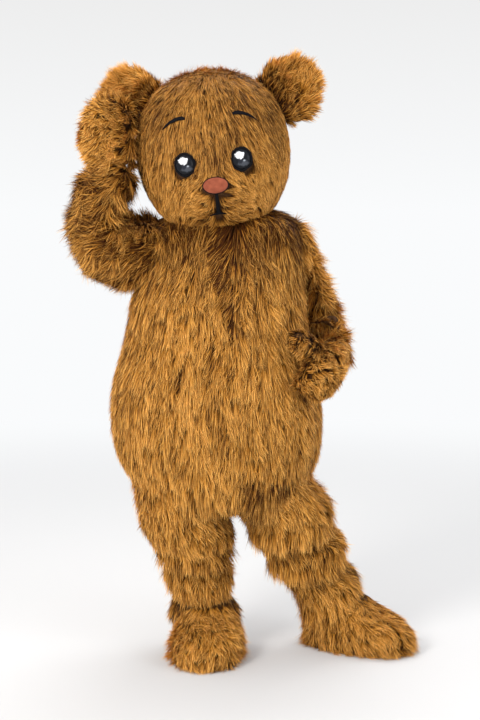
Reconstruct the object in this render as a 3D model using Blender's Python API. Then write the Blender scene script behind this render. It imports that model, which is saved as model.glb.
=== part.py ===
"""Bear mascot costume, worn: a hollow walking suit, mittens, boot covers and head of fur fabric.

Metres, +Z up, the costume faces -Y and its own left is +X. The origin lies between the wearer's
shoulders, where the suit hangs. Tables give heights above the floor; ORIGIN_HEIGHT turns them into
the part's own frame. Every fur piece is a wall: the backing cloth with its lying pile.
"""

import math

import bmesh
import bpy
import numpy as np

# Driving dimensions, in metres.
ORIGIN_HEIGHT = 1.400       # the wearer's shoulders above the floor
SEAM_GAP = 0.0003           # between two pieces that are sewn or seated together
BODY_WALL = 0.014           # backing and lying long pile of the suit
FACE_WALL = 0.010           # foam-backed shell and clipped pile of the head
MITTEN_WALL = 0.011
THUMB_WALL = 0.009
TIP_SHOULDER = 0.35         # share of its wall that a bag's last ring but one is drawn back by
SOLE_THICKNESS = 0.012
ZIP_HALF_WIDTH = 0.006
ZIP_END_HALF_WIDTH = 0.0008  # where it tapers out between the back panels
ZIP_THICKNESS = 0.004
ZIP_DEPTH = 0.005           # the zip lies this far under the tips of the pile
BODY_SQUARENESS = 2.2       # power of every ring's rounded oval; 2 is an ellipse
BOOT_SQUARENESS = 2.4

HEAD_CENTRE = (-0.046, -0.040, 1.586)
HEAD_ROLL = math.radians(6.0)          # the head leans towards its own right
MUZZLE_REACH = 0.036
MUZZLE_HEIGHT = -0.135
MUZZLE_SPREAD = (0.085, 0.075)         # half width and half height of the muzzle's swell
EYE_PLACE = (0.083, -0.044)            # sideways and up from the head's centre
EYE_SIZE = (0.0320, 0.0350, 0.017)     # half width, half height, half depth, rim included
NOSE_PLACE = (0.0, -0.113)
NOSE_SIZE = (0.037, 0.0235, 0.010)
EAR_PLACE = {"right": (-0.220, 0.164), "left": (0.238, 0.150)}
EAR_RADIUS = (0.100, 0.102)
EAR_YAW = math.radians(14.0)           # the cups turn outwards
RIGHT_BOOT = (-0.064, 0.030, math.radians(-2.0))    # ankle x, ankle y, turn of the toe towards +X
LEFT_BOOT = (0.350, 0.088, math.radians(59.0))

# The torso, from the crotch to the neck. right_x and left_x are its own sides.
SEAM_X = 0.010              # the centre seams, front and back
TORSO_ROWS = (
    # height, right_x, left_x, front_y, back_y
    (0.462, 0.0085, 0.0115, -0.0015, 0.0015),
    (0.467, -0.085, 0.095, -0.100, 0.095),
    (0.488, -0.178, 0.165, -0.172, 0.155),
    (0.526, -0.258, 0.222, -0.222, 0.200),
    (0.585, -0.322, 0.266, -0.254, 0.232),
    (0.665, -0.354, 0.287, -0.272, 0.250),
    (0.760, -0.362, 0.290, -0.280, 0.252),
    (0.860, -0.357, 0.278, -0.276, 0.242),
    (0.960, -0.342, 0.256, -0.262, 0.228),
    (1.060, -0.320, 0.241, -0.240, 0.212),
    (1.160, -0.292, 0.235, -0.214, 0.198),
    (1.250, -0.262, 0.236, -0.188, 0.184),
    (1.320, -0.242, 0.232, -0.162, 0.168),
    (1.368, -0.214, 0.212, -0.136, 0.148),
    (1.396, -0.158, 0.162, -0.108, 0.122),
    (1.416, -0.104, 0.110, -0.086, 0.100),
)
TORSO_RINGS = 17
TORSO_QUARTER_COLUMNS = 6
ZIP_FIRST_RING = 3

# Tubes: each row is a cross-section, given by its two edge points a and b and its half depth.
SLEEVE_RINGS = 14
MITTEN_RINGS = 8
ARM_COLUMNS = 16
ARMHOLE_RINGS = 5
THUMB_RINGS = 6
THUMB_COLUMNS = 8
LEG_RINGS = 15
LEG_COLUMNS = 16
LEG_HOLE_RING = 8

# Raised right sleeve, armhole to cuff: edge a is the underarm and elbow, edge b the crease side.
SLEEVE_RIGHT_ROWS = (
    # a_x, a_y, a_z, b_x, b_y, b_z, half_depth
    (-0.190, 0.005, 1.170, -0.168, 0.005, 1.368, 0.105),
    (-0.252, -0.005, 1.152, -0.222, -0.005, 1.388, 0.118),
    (-0.312, -0.018, 1.146, -0.262, -0.018, 1.394, 0.124),
    (-0.378, -0.032, 1.166, -0.288, -0.032, 1.396, 0.123),
    (-0.448, -0.046, 1.215, -0.301, -0.046, 1.400, 0.118),
    (-0.488, -0.060, 1.298, -0.305, -0.060, 1.407, 0.112),
    (-0.494, -0.074, 1.372, -0.298, -0.074, 1.424, 0.108),
    (-0.480, -0.086, 1.438, -0.270, -0.086, 1.455, 0.106),
    (-0.462, -0.098, 1.500, -0.264, -0.098, 1.500, 0.098),
    (-0.424, -0.108, 1.550, -0.280, -0.108, 1.545, 0.080),
)

# Left sleeve, armhole to cuff: edge a is the outer side, edge b the side towards the body.
SLEEVE_LEFT_ROWS = (
    # a_x, a_y, a_z, b_x, b_y, b_z, half_depth
    (0.168, 0.015, 1.375, 0.176, 0.015, 1.200, 0.088),
    (0.226, 0.022, 1.374, 0.214, 0.030, 1.190, 0.096),
    (0.274, 0.036, 1.290, 0.232, 0.056, 1.158, 0.092),
    (0.318, 0.056, 1.195, 0.236, 0.084, 1.112, 0.088),
    (0.352, 0.080, 1.105, 0.238, 0.106, 1.062, 0.084),
    (0.376, 0.092, 1.032, 0.246, 0.108, 1.010, 0.081),
    (0.388, 0.064, 0.976, 0.260, 0.072, 0.974, 0.078),
    (0.390, 0.010, 0.952, 0.266, 0.000, 0.962, 0.073),
    (0.381, -0.046, 0.946, 0.262, -0.080, 0.966, 0.068),
    (0.366, -0.098, 0.937, 0.252, -0.154, 0.970, 0.060),
)

# Mittens, beyond the cuff to the tip.
MITTEN_RIGHT_ROWS = (
    # a_x, a_y, a_z, b_x, b_y, b_z, half_depth
    (-0.438, -0.118, 1.592, -0.273, -0.118, 1.590, 0.082),
    (-0.442, -0.126, 1.650, -0.276, -0.126, 1.652, 0.074),
    (-0.426, -0.130, 1.702, -0.288, -0.130, 1.704, 0.064),
    (-0.394, -0.130, 1.734, -0.310, -0.130, 1.735, 0.042),
    (-0.362, -0.130, 1.746, -0.340, -0.130, 1.746, 0.010),
)
MITTEN_LEFT_ROWS = (
    # a_x, a_y, a_z, b_x, b_y, b_z, half_depth
    (0.350, -0.145, 0.906, 0.226, -0.225, 0.948, 0.056),
    (0.328, -0.176, 0.868, 0.206, -0.262, 0.906, 0.053),
    (0.304, -0.202, 0.842, 0.212, -0.270, 0.866, 0.042),
    (0.270, -0.226, 0.834, 0.246, -0.246, 0.840, 0.012),
)

# Thumbs, root to tip.
THUMB_RIGHT_ROWS = (
    # a_x, a_y, a_z, b_x, b_y, b_z, half_depth
    (-0.394, -0.088, 1.592, -0.334, -0.088, 1.594, 0.028),
    (-0.402, -0.040, 1.604, -0.340, -0.040, 1.606, 0.031),
    (-0.402, -0.008, 1.620, -0.346, -0.008, 1.621, 0.028),
    (-0.391, 0.011, 1.633, -0.357, 0.011, 1.633, 0.017),
    (-0.379, 0.017, 1.638, -0.369, 0.017, 1.638, 0.005),
)
THUMB_LEFT_ROWS = (
    # a_x, a_y, a_z, b_x, b_y, b_z, half_depth
    (0.294, -0.192, 0.930, 0.276, -0.156, 0.966, 0.027),
    (0.254, -0.250, 0.966, 0.230, -0.206, 1.016, 0.034),
    (0.224, -0.274, 0.992, 0.200, -0.232, 1.038, 0.032),
    (0.205, -0.280, 1.010, 0.188, -0.251, 1.038, 0.020),
    (0.195, -0.274, 1.022, 0.190, -0.264, 1.030, 0.006),
)

# Legs, hem to hip: edge a is the side towards -X. Rows that step out and in again are the folds.
LEG_RIGHT_ROWS = (
    # a_x, a_y, a_z, b_x, b_y, b_z, half_depth
    (-0.178, 0.030, 0.142, 0.024, 0.030, 0.140, 0.104),
    (-0.186, 0.026, 0.176, 0.022, 0.026, 0.172, 0.110),
    (-0.196, 0.020, 0.222, 0.010, 0.020, 0.216, 0.106),
    (-0.206, 0.016, 0.262, 0.014, 0.016, 0.258, 0.112),
    (-0.200, 0.010, 0.308, -0.006, 0.010, 0.304, 0.104),
    (-0.206, 0.002, 0.334, -0.004, 0.002, 0.332, 0.112),
    (-0.238, -0.006, 0.348, 0.022, -0.006, 0.342, 0.146),
    (-0.264, -0.010, 0.388, 0.020, -0.010, 0.378, 0.164),
    (-0.278, -0.014, 0.440, 0.004, -0.014, 0.430, 0.176),
    (-0.288, -0.014, 0.510, -0.014, -0.014, 0.500, 0.188),
    (-0.298, -0.010, 0.580, -0.024, -0.010, 0.570, 0.188),
    (-0.298, -0.006, 0.650, -0.034, -0.006, 0.640, 0.180),
)
LEG_LEFT_ROWS = (
    # a_x, a_y, a_z, b_x, b_y, b_z, half_depth
    (0.244, 0.082, 0.128, 0.416, 0.076, 0.196, 0.100),
    (0.222, 0.074, 0.168, 0.408, 0.068, 0.226, 0.106),
    (0.190, 0.062, 0.216, 0.396, 0.056, 0.258, 0.106),
    (0.160, 0.052, 0.262, 0.362, 0.046, 0.286, 0.104),
    (0.124, 0.040, 0.302, 0.378, 0.034, 0.338, 0.120),
    (0.098, 0.028, 0.348, 0.358, 0.024, 0.376, 0.124),
    (0.084, 0.020, 0.374, 0.320, 0.016, 0.402, 0.122),
    (0.062, 0.008, 0.408, 0.336, 0.004, 0.450, 0.142),
    (0.042, -0.004, 0.456, 0.318, -0.006, 0.498, 0.154),
    (0.036, -0.010, 0.510, 0.268, -0.010, 0.550, 0.160),
    (0.042, -0.010, 0.570, 0.240, -0.010, 0.604, 0.156),
    (0.050, -0.006, 0.630, 0.216, -0.006, 0.655, 0.148),
)

# Boot covers, sole to ankle: reaches from the ankle's axis.
BOOT_RINGS = 7
BOOT_COLUMNS = 18
BOOT_ROWS = (
    # height, half_width, toe, heel
    (SOLE_THICKNESS + SEAM_GAP, 0.100, 0.252, 0.102),
    (0.040, 0.109, 0.266, 0.108),
    (0.078, 0.108, 0.254, 0.106),
    (0.110, 0.102, 0.216, 0.102),
    (0.136, 0.092, 0.166, 0.096),
    (0.158, 0.084, 0.124, 0.090),
    (0.180, 0.080, 0.096, 0.086),
)

# The head, neck to crown, from its own centre.
HEAD_RINGS = 13
HEAD_HALF_COLUMNS = 12
HEAD_ROWS = (
    # up, half_width, front, back
    (-0.234, 0.098, 0.092, 0.096),
    (-0.222, 0.132, 0.118, 0.122),
    (-0.190, 0.172, 0.152, 0.158),
    (-0.140, 0.204, 0.184, 0.188),
    (-0.080, 0.225, 0.204, 0.208),
    (-0.010, 0.234, 0.214, 0.218),
    (0.060, 0.229, 0.210, 0.214),
    (0.120, 0.208, 0.194, 0.198),
    (0.170, 0.172, 0.164, 0.168),
    (0.210, 0.122, 0.118, 0.122),
    (0.232, 0.066, 0.066, 0.068),
    (0.240, 0.0015, 0.0015, 0.0015),
)

# Ears: depth of the cup, the seam and the back at each share of the radius.
EAR_COLUMNS = 12
EAR_SET_BACK = 0.045        # the ears' middle behind the head's
EAR_ROWS = (
    # radius_share, cup_y, seam_y, back_y
    (0.05, 0.014, 0.026, 0.042),
    (0.30, 0.011, 0.024, 0.040),
    (0.58, -0.002, 0.014, 0.032),
    (0.82, -0.016, 0.002, 0.020),
    (1.00, -0.014, -0.003, 0.008),
)

# Round pieces on the face, back to front.
CUSHION_COLUMNS = 14
EYE_PROFILE = (
    # share of the radius, share of the half depth
    (0.86, -1.0),
    (1.0, -0.6),
    (1.0, 0.30),
    (0.87, 0.42),
    (0.80, 0.70),
    (0.52, 0.93),
    (0.12, 1.0),
)
NOSE_PROFILE = (
    # share of the radius, share of the half depth
    (0.80, -1.0),
    (0.97, -0.4),
    (1.0, 0.1),
    (0.90, 0.62),
    (0.60, 0.92),
    (0.15, 1.0),
)

# Felt strips stand proud of the face and are sunk into its pile.
STRIP_PROUD = 0.004
STRIP_SUNK = 0.006

# Brows, from the thick inner end.
BROW_ROWS = (
    # sideways, up, half_height
    (0.070, 0.090, 0.0040),
    (0.084, 0.0925, 0.0060),
    (0.104, 0.0885, 0.0050),
    (0.124, 0.0790, 0.0035),
    (0.140, 0.0660, 0.0012),
)

# The mouth's upright strip and its short lower line.
MOUTH_SEAM_ROWS = (
    # sideways, up, half_width
    (0.0, -0.1375, 0.0045),
    (0.0, -0.156, 0.0050),
    (0.0, -0.174, 0.0055),
    (0.0, -0.196, 0.0060),
)
MOUTH_LINE_ROWS = (
    # sideways, up, half_height
    (-0.026, -0.1995, 0.0012),
    (-0.013, -0.1960, 0.0026),
    (0.0, -0.1950, 0.0032),
    (0.013, -0.1960, 0.0026),
    (0.026, -0.1995, 0.0012),
)

FUR_COLOUR = (0.43, 0.19, 0.050)
FACE_COLOUR = (0.46, 0.22, 0.065)
SOLE_COLOUR = (0.035, 0.025, 0.020)
BLACK_FELT = (0.012, 0.010, 0.010)
EYE_COLOUR = (0.020, 0.022, 0.026)
NOSE_COLOUR = (0.44, 0.110, 0.065)
ZIP_COLOUR = (0.10, 0.05, 0.02)


def clear_scene():
    """Remove every object the file opened with."""
    for old in list(bpy.data.objects):
        bpy.data.objects.remove(old, do_unlink=True)


def even_places(rows, count):
    """`count` even steps from a table's first row to its last."""
    return np.linspace(0, len(rows) - 1, count)


def smooth_rows(rows, place):
    """The table read at these places along a Catmull-Rom curve through its rows."""
    table = np.array(rows, dtype=float)
    padded = np.vstack([2 * table[0] - table[1], table, 2 * table[-1] - table[-2]])
    first = np.minimum(place.astype(int), len(table) - 2)
    s = (place - first)[:, None]
    p0, p1, p2, p3 = (padded[first + k] for k in range(4))
    return 0.5 * (2 * p1 + (p2 - p0) * s + (2 * p0 - 5 * p1 + 4 * p2 - p3) * s ** 2
                  + (3 * p1 - p0 - 3 * p2 + p3) * s ** 3)


def ring_grid(centre, across, depth, turns, squareness=BODY_SQUARENESS):
    """Points centre + across * cos + depth * sin, squared off a little, for each row and turn."""
    cosine, sine = np.cos(turns), np.sin(turns)
    c = np.sign(cosine) * np.abs(cosine) ** (2 / squareness)
    s = np.sign(sine) * np.abs(sine) ** (2 / squareness)
    return centre[:, None] + across[:, None] * c[None, :, None] + depth[:, None] * s[None, :, None]


def unit(vectors):
    """Vectors at length one."""
    return vectors / np.maximum(np.linalg.norm(vectors, axis=-1, keepdims=True), 1e-9)


def normals_of(grid, closed=True):
    """Outward directions: the way round a ring crossed with the way along the rings."""
    along = np.gradient(grid, axis=0)
    if closed:
        around = np.roll(grid, -1, axis=1) - np.roll(grid, 1, axis=1)
    else:
        around = np.gradient(grid, axis=1)
    return unit(np.cross(around, along))


def full_turns(columns):
    """Even turns round a whole ring."""
    return 2 * math.pi * np.arange(columns) / columns


def lowered(grid):
    """Heights above the floor turned into the part's frame."""
    return grid - np.array([0.0, 0.0, ORIGIN_HEIGHT])


def mesh_object(name, points, faces, material=None):
    """A mesh object from points and faces, with its faces turned outwards."""
    mesh = bpy.data.meshes.new(name)
    mesh.from_pydata([tuple(p) for p in points], [], faces)
    shape = bmesh.new()
    shape.from_mesh(mesh)
    bmesh.ops.recalc_face_normals(shape, faces=shape.faces)
    bmesh.ops.triangulate(shape, faces=shape.faces)
    shape.to_mesh(mesh)
    shape.free()
    mesh.shade_smooth()
    made = bpy.data.objects.new(name, mesh)
    bpy.context.scene.collection.objects.link(made)
    if material:
        mesh.materials.append(material)
    return made


def strip_faces(first, second, closed):
    """Quads between two equal lists of point numbers."""
    count = len(first)
    last = count if closed else count - 1
    return [(first[k], first[(k + 1) % count], second[(k + 1) % count], second[k]) for k in range(last)]


def sheet_faces(numbers, closed):
    """Quads over a grid of point numbers."""
    faces = []
    for lower, upper in zip(numbers[:-1], numbers[1:]):
        faces += strip_faces(lower, upper, closed)
    return faces


def wall_object(name, outer, inner, material, closed=True, cap_start=False, cap_end=False):
    """A wall between two grids: a tube, a bag closed at an end, or a panel with four rims."""
    rings, columns = outer.shape[:2]
    outside = np.arange(rings * columns).reshape(rings, columns)
    inside = outside + rings * columns
    points = list(outer.reshape(-1, 3)) + list(inner.reshape(-1, 3))
    faces = sheet_faces(outside.tolist(), closed)
    faces += [face[::-1] for face in sheet_faces(inside.tolist(), closed)]
    for row, capped in ((0, cap_start), (-1, cap_end)):
        if capped:
            faces.append(tuple(outside[row].tolist()))
            faces.append(tuple(inside[row].tolist()))
        else:
            faces += strip_faces(outside[row].tolist(), inside[row].tolist(), closed)
    if not closed:
        faces += strip_faces(outside[:, 0].tolist(), inside[:, 0].tolist(), False)
        faces += strip_faces(outside[:, -1].tolist(), inside[:, -1].tolist(), False)
    return mesh_object(name, points, faces, material)


def plug_object(name, rings, material=None):
    """A solid through rings, with both ends closed."""
    count, columns = rings.shape[:2]
    numbers = np.arange(count * columns).reshape(count, columns)
    faces = sheet_faces(numbers.tolist(), True)
    faces.append(tuple(numbers[0].tolist()))
    faces.append(tuple(numbers[-1].tolist()))
    return mesh_object(name, list(rings.reshape(-1, 3)), faces, material)


def cutter(name, rings):
    """A plug that only cuts."""
    made = plug_object(name, rings)
    made.hide_render = True
    made.display_type = "WIRE"
    return made


def cut(target, *tools):
    """Take each tool's shape out of the target."""
    for tool in tools:
        boolean = target.modifiers.new("cut_" + tool.name, "BOOLEAN")
        boolean.operation = "DIFFERENCE"
        boolean.solver = "EXACT"
        boolean.object = tool


def finish(name, colour, roughness):
    """A Principled material."""
    material = bpy.data.materials.new(name)
    material.use_nodes = True
    shader = material.node_tree.nodes["Principled BSDF"]
    shader.inputs["Base Color"].default_value = (*colour, 1.0)
    shader.inputs["Roughness"].default_value = roughness
    shader.inputs["Metallic"].default_value = 0.0
    return material


def section_grid(rows, places, columns):
    """Rings of a tube through the cross-sections of its table, in the part's frame."""
    table = smooth_rows(rows, places)
    edge_a, edge_b, half_depth = table[:, 0:3], table[:, 3:6], table[:, 6:7]
    centre = (edge_a + edge_b) / 2
    across = (edge_b - edge_a) / 2
    depth = unit(np.cross(np.gradient(centre, axis=0), across)) * half_depth
    return lowered(ring_grid(centre, across, depth, full_turns(columns)))


def torso_grid(turns):
    """Level rings of the torso at the given turns: 0 is its left side, a quarter turn its back."""
    table = smooth_rows(TORSO_ROWS, even_places(TORSO_ROWS, TORSO_RINGS))
    height, right_x, left_x, front_y, back_y = table.T
    zero = 0 * height
    centre = np.stack([zero + SEAM_X, (front_y + back_y) / 2, height], axis=1)
    to_left = np.stack([left_x - SEAM_X, zero, zero], axis=1)
    to_right = np.stack([SEAM_X - right_x, zero, zero], axis=1)
    depth = np.stack([zero, (back_y - front_y) / 2, zero], axis=1)
    left_half = ring_grid(centre, to_left, depth, turns)
    right_half = ring_grid(centre, to_right, depth, turns)
    return lowered(np.where(np.cos(turns)[None, :, None] > 0, left_half, right_half))


def pulled_in(grid, column, neighbour, inset):
    """Move a panel's edge column towards its neighbour by an inset for each ring."""
    way = unit(grid[:, neighbour] - grid[:, column])
    grid[:, column] += way * inset[:, None]


def torso_panel(name, first_turn, zip_column, material):
    """A quarter of the torso as a wall, drawn back from its seams and from the zip."""
    step = math.pi / 2 / TORSO_QUARTER_COLUMNS
    turns = first_turn + step * np.arange(-1, TORSO_QUARTER_COLUMNS + 2)
    wide = torso_grid(turns)
    directions = normals_of(wide, closed=False)[:, 1:-1]
    directions[0] = (0.0, 0.0, -1.0)
    outer = wide[:, 1:-1]
    inner = outer - directions * BODY_WALL
    seam = np.full(TORSO_RINGS, SEAM_GAP / 2)
    beside_zip = seam.copy()
    beside_zip[ZIP_FIRST_RING:] = zip_half_widths() + SEAM_GAP
    first = beside_zip if zip_column == 0 else seam
    last = beside_zip if zip_column == -1 else seam
    for grid in (outer, inner):
        pulled_in(grid, 0, 1, first)
        pulled_in(grid, -1, -2, last)
    return wall_object(name, outer, inner, material, closed=False)


def zip_half_widths():
    """The zip's half width at each of its rings, tapered at its lower end."""
    half = np.full(TORSO_RINGS - ZIP_FIRST_RING, ZIP_HALF_WIDTH)
    half[0] = ZIP_END_HALF_WIDTH
    return half


def back_zip(material):
    """The closed zip between the back panels, under the tips of the pile."""
    step = math.pi / 2 / TORSO_QUARTER_COLUMNS
    wide = torso_grid(math.pi / 2 + step * np.array([-1.0, 0.0, 1.0]))
    out = normals_of(wide, closed=False)[ZIP_FIRST_RING:, 1]
    middle = wide[ZIP_FIRST_RING:, 1] - out * ZIP_DEPTH
    aside = zip_half_widths()[:, None] * np.array([1.0, 0.0, 0.0])
    face = np.stack([middle + aside, middle, middle - aside], axis=1)
    back = face - out[:, None] * ZIP_THICKNESS
    return wall_object("back_zip", face, back, material, closed=False)


def torso(fur, tape):
    """The four torso panels and the zip; returns them with the shapes that trim their neighbours."""
    whole = torso_grid(full_turns(4 * TORSO_QUARTER_COLUMNS))
    panels = {
        "torso_back_left": torso_panel("torso_back_left", 0.0, -1, fur),
        "torso_back_right": torso_panel("torso_back_right", math.pi / 2, 0, fur),
        "torso_front_right": torso_panel("torso_front_right", math.pi, None, fur),
        "torso_front_left": torso_panel("torso_front_left", 1.5 * math.pi, None, fur),
    }
    back_zip(tape)
    coarse = torso_grid(full_turns(2 * TORSO_QUARTER_COLUMNS))[::2]
    inwards = -normals_of(coarse)
    inwards[0] = (0.0, 0.0, 1.0)
    hollow = cutter("torso_hollow", coarse + inwards * BODY_WALL)
    outside = cutter("torso_outside", whole + normals_of(whole) * SEAM_GAP)
    return panels, hollow, outside


def bag_inside(outer, wall):
    """The inner face of a bag whose last ring is its closed tip."""
    inner = outer - normals_of(outer) * wall
    back = unit(outer[-2].mean(axis=0) - outer[-1].mean(axis=0)) * wall
    inner[-1] = outer[-1] + back
    inner[-2] += back * TIP_SHOULDER
    return inner


def sleeves_and_mittens(fur, panels, hollow):
    """Sleeves set into the armholes, mittens at their cuffs, thumbs set into the mittens."""
    armholes = []
    sets = (
        ("right", SLEEVE_RIGHT_ROWS, MITTEN_RIGHT_ROWS, THUMB_RIGHT_ROWS),
        ("left", SLEEVE_LEFT_ROWS, MITTEN_LEFT_ROWS, THUMB_LEFT_ROWS),
    )
    for side, sleeve_rows, mitten_rows, thumb_rows in sets:
        arm_rows = sleeve_rows + mitten_rows
        cuff = len(sleeve_rows) - 1
        places = np.concatenate([np.linspace(0, cuff, SLEEVE_RINGS),
                                 np.linspace(cuff, len(arm_rows) - 1, MITTEN_RINGS)[1:]])
        arm = section_grid(arm_rows, places, ARM_COLUMNS)
        out = normals_of(arm)
        last = SLEEVE_RINGS - 1
        quarter = ARM_COLUMNS // 4
        across = arm[last, 0] - arm[last, 2 * quarter]
        along = unit(np.cross(across, arm[last, quarter] - arm[last, -quarter]))
        out[last] = unit(out[last] - (out[last] @ along)[:, None] * along)

        sleeve_grid = arm[:SLEEVE_RINGS]
        sleeve_inside = (arm - out * BODY_WALL)[:SLEEVE_RINGS]
        sleeve = wall_object("sleeve_" + side, sleeve_grid, sleeve_inside, fur)
        cut(sleeve, hollow)
        armhole = cutter("armhole_" + side, (arm + out * SEAM_GAP)[:ARMHOLE_RINGS])
        cut(panels["torso_front_" + side], armhole)
        cut(panels["torso_back_" + side], armhole)
        armholes.append(armhole)

        mitten_grid = arm[last:].copy()
        mitten_inside = bag_inside(mitten_grid, MITTEN_WALL)
        mitten_inside[0] = (arm - out * MITTEN_WALL)[last]
        mitten_grid[0] += along * SEAM_GAP
        mitten_inside[0] += along * SEAM_GAP
        mitten = wall_object("mitten_" + side, mitten_grid, mitten_inside, fur, cap_end=True)

        thumb_grid = section_grid(thumb_rows, even_places(thumb_rows, THUMB_RINGS), THUMB_COLUMNS)
        thumb_inside = bag_inside(thumb_grid, THUMB_WALL)
        thumb = wall_object("thumb_" + side, thumb_grid, thumb_inside, fur, cap_end=True)
        cut(thumb, cutter("mitten_hollow_" + side, mitten_inside))
        cut(mitten, cutter("thumb_hole_" + side, thumb_grid + normals_of(thumb_grid) * SEAM_GAP))
    return armholes


def boot_grid(place):
    """Level rings of a boot cover round its ankle axis, turned to where its toe points."""
    ankle_x, ankle_y, turn = place
    height, half_width, toe, heel = smooth_rows(BOOT_ROWS, even_places(BOOT_ROWS, BOOT_RINGS)).T
    zero = 0 * height
    centre = np.stack([zero, (heel - toe) / 2, height], axis=1)
    across = np.stack([half_width, zero, zero], axis=1)
    depth = np.stack([zero, (heel + toe) / 2, zero], axis=1)
    grid = ring_grid(centre, across, depth, full_turns(BOOT_COLUMNS), BOOT_SQUARENESS)
    x, y, z = grid[..., 0], grid[..., 1], grid[..., 2]
    c, s = math.cos(turn), math.sin(turn)
    turned = np.stack([x * c - y * s, x * s + y * c, z], axis=-1)
    return lowered(turned + np.array([ankle_x, ankle_y, 0.0]))


def legs_and_boots(fur, rubber, panels, hollow):
    """Legs set into the torso, their hems resting on the boot covers, each on a flat sole."""
    sets = (("right", LEG_RIGHT_ROWS, RIGHT_BOOT), ("left", LEG_LEFT_ROWS, LEFT_BOOT))
    for side, rows, place in sets:
        leg_grid = section_grid(rows, even_places(rows, LEG_RINGS), LEG_COLUMNS)
        leg_out = normals_of(leg_grid)
        leg = wall_object("leg_" + side, leg_grid, leg_grid - leg_out * BODY_WALL, fur)
        cut(leg, hollow)
        leg_hole = cutter("leg_hole_" + side, (leg_grid + leg_out * SEAM_GAP)[LEG_HOLE_RING:])
        cut(panels["torso_front_" + side], leg_hole)
        cut(panels["torso_back_" + side], leg_hole)

        outer = boot_grid(place)
        inner = outer - normals_of(outer) * BODY_WALL
        inner[0, :, 2] = outer[0, :, 2]
        inner[-1, :, 2] = outer[-1, :, 2]
        wall_object("boot_" + side, outer, inner, fur)
        cut(leg, cutter("boot_outside_" + side, outer + normals_of(outer) * SEAM_GAP))
        top = outer[0].copy()
        top[:, 2] -= SEAM_GAP
        bottom = top.copy()
        bottom[:, 2] = -ORIGIN_HEIGHT
        plug_object("sole_" + side, np.stack([bottom, top]), rubber)


def head_to_part(points):
    """Points from the head's own centre and axes (side, forward -Y, up) into the part's frame."""
    c, s = math.cos(HEAD_ROLL), math.sin(HEAD_ROLL)
    x, y, z = points[..., 0], points[..., 1], points[..., 2]
    turned = np.stack([x * c - z * s, y, x * s + z * c], axis=-1)
    return lowered(turned + np.array(HEAD_CENTRE))


def with_muzzle(points):
    """Swell the front of the head forwards round the muzzle, as a bell curve in width and height."""
    wide, tall = MUZZLE_SPREAD
    aside = points[..., 0] / wide
    above = (points[..., 2] - MUZZLE_HEIGHT) / tall
    swell = MUZZLE_REACH * np.exp(-aside ** 2 - above ** 2)
    points = points.copy()
    points[..., 1] -= np.where(points[..., 1] < 0, swell, 0)
    return points


def head_grid(turns):
    """Rings of the head in its own frame, neck to crown."""
    up, half_width, front, back = smooth_rows(HEAD_ROWS, even_places(HEAD_ROWS, HEAD_RINGS)).T
    zero = 0 * up
    centre = np.stack([zero, (back - front) / 2, up], axis=1)
    across = np.stack([half_width, zero, zero], axis=1)
    depth = np.stack([zero, (front + back) / 2, zero], axis=1)
    return with_muzzle(ring_grid(centre, across, depth, turns))


def face_y(side, up):
    """How far forward the face lies at a place given sideways and up from the head's centre."""
    table = np.array(HEAD_ROWS)
    half_width, front, back = (np.interp(up, table[:, 0], table[:, k]) for k in (1, 2, 3))
    share = np.minimum(np.abs(side) / half_width, 1) ** BODY_SQUARENESS
    y = (back - front) / 2 - (front + back) / 2 * (1 - share) ** (1 / BODY_SQUARENESS)
    flat = np.stack([side + 0 * y, y, up + 0 * y], axis=-1)
    return with_muzzle(flat)[..., 1]


def head_shell(name, first_turn, material):
    """Half of the head's shell, face or back, from one ear seam to the other."""
    step = math.pi / HEAD_HALF_COLUMNS
    wide = head_grid(first_turn + step * np.arange(-1, HEAD_HALF_COLUMNS + 2))
    directions = normals_of(wide, closed=False)[:, 1:-1]
    directions[-1] = (0.0, 0.0, 1.0)
    outer = wide[:, 1:-1]
    inner = outer - directions * FACE_WALL
    seam = np.full(len(outer), SEAM_GAP / 2)
    for grid in (outer, inner):
        pulled_in(grid, 0, 1, seam)
        pulled_in(grid, -1, -2, seam)
    return wall_object(name, head_to_part(outer), head_to_part(inner), material, closed=False)


def ear_panels(side_name, side, fur, head_outside):
    """The cup and the back of one ear, sewn at the rim and set on the head."""
    turns = full_turns(EAR_COLUMNS)
    share, cup_y, seam_y, back_y = np.array(EAR_ROWS).T
    c, s = math.cos(EAR_YAW * side), math.sin(EAR_YAW * side)

    def layer(depths):
        x = EAR_RADIUS[0] * share[:, None] * np.cos(turns)
        z = EAR_RADIUS[1] * share[:, None] * np.sin(turns)
        y = depths[:, None] + 0 * x
        placed = np.stack([x * c - y * s, x * s + y * c, z], axis=-1)
        aside, up = EAR_PLACE[side_name]
        return head_to_part(placed + np.array([aside, EAR_SET_BACK, up]))

    half = SEAM_GAP / 2
    pairs = (("front", cup_y, seam_y - half), ("back", seam_y + half, back_y))
    for face, near, far in pairs:
        name = "ear_" + side_name + "_" + face
        cut(wall_object(name, layer(near), layer(far), fur, cap_start=True), head_outside)


def cushion(name, place, size, profile, material, head_outside):
    """A closed round piece on the face; its profile gives the share of the radius and the depth."""
    side, up = place
    half_width, half_height, half_depth = size
    share, depth = np.array(profile).T
    turns = full_turns(CUSHION_COLUMNS)
    x = side + half_width * share[:, None] * np.cos(turns)
    z = up + half_height * share[:, None] * np.sin(turns)
    y = face_y(side, up) - half_depth * depth[:, None] + 0 * x
    made = plug_object(name, head_to_part(np.stack([x, y, z], axis=-1)), material)
    cut(made, head_outside)


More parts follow.
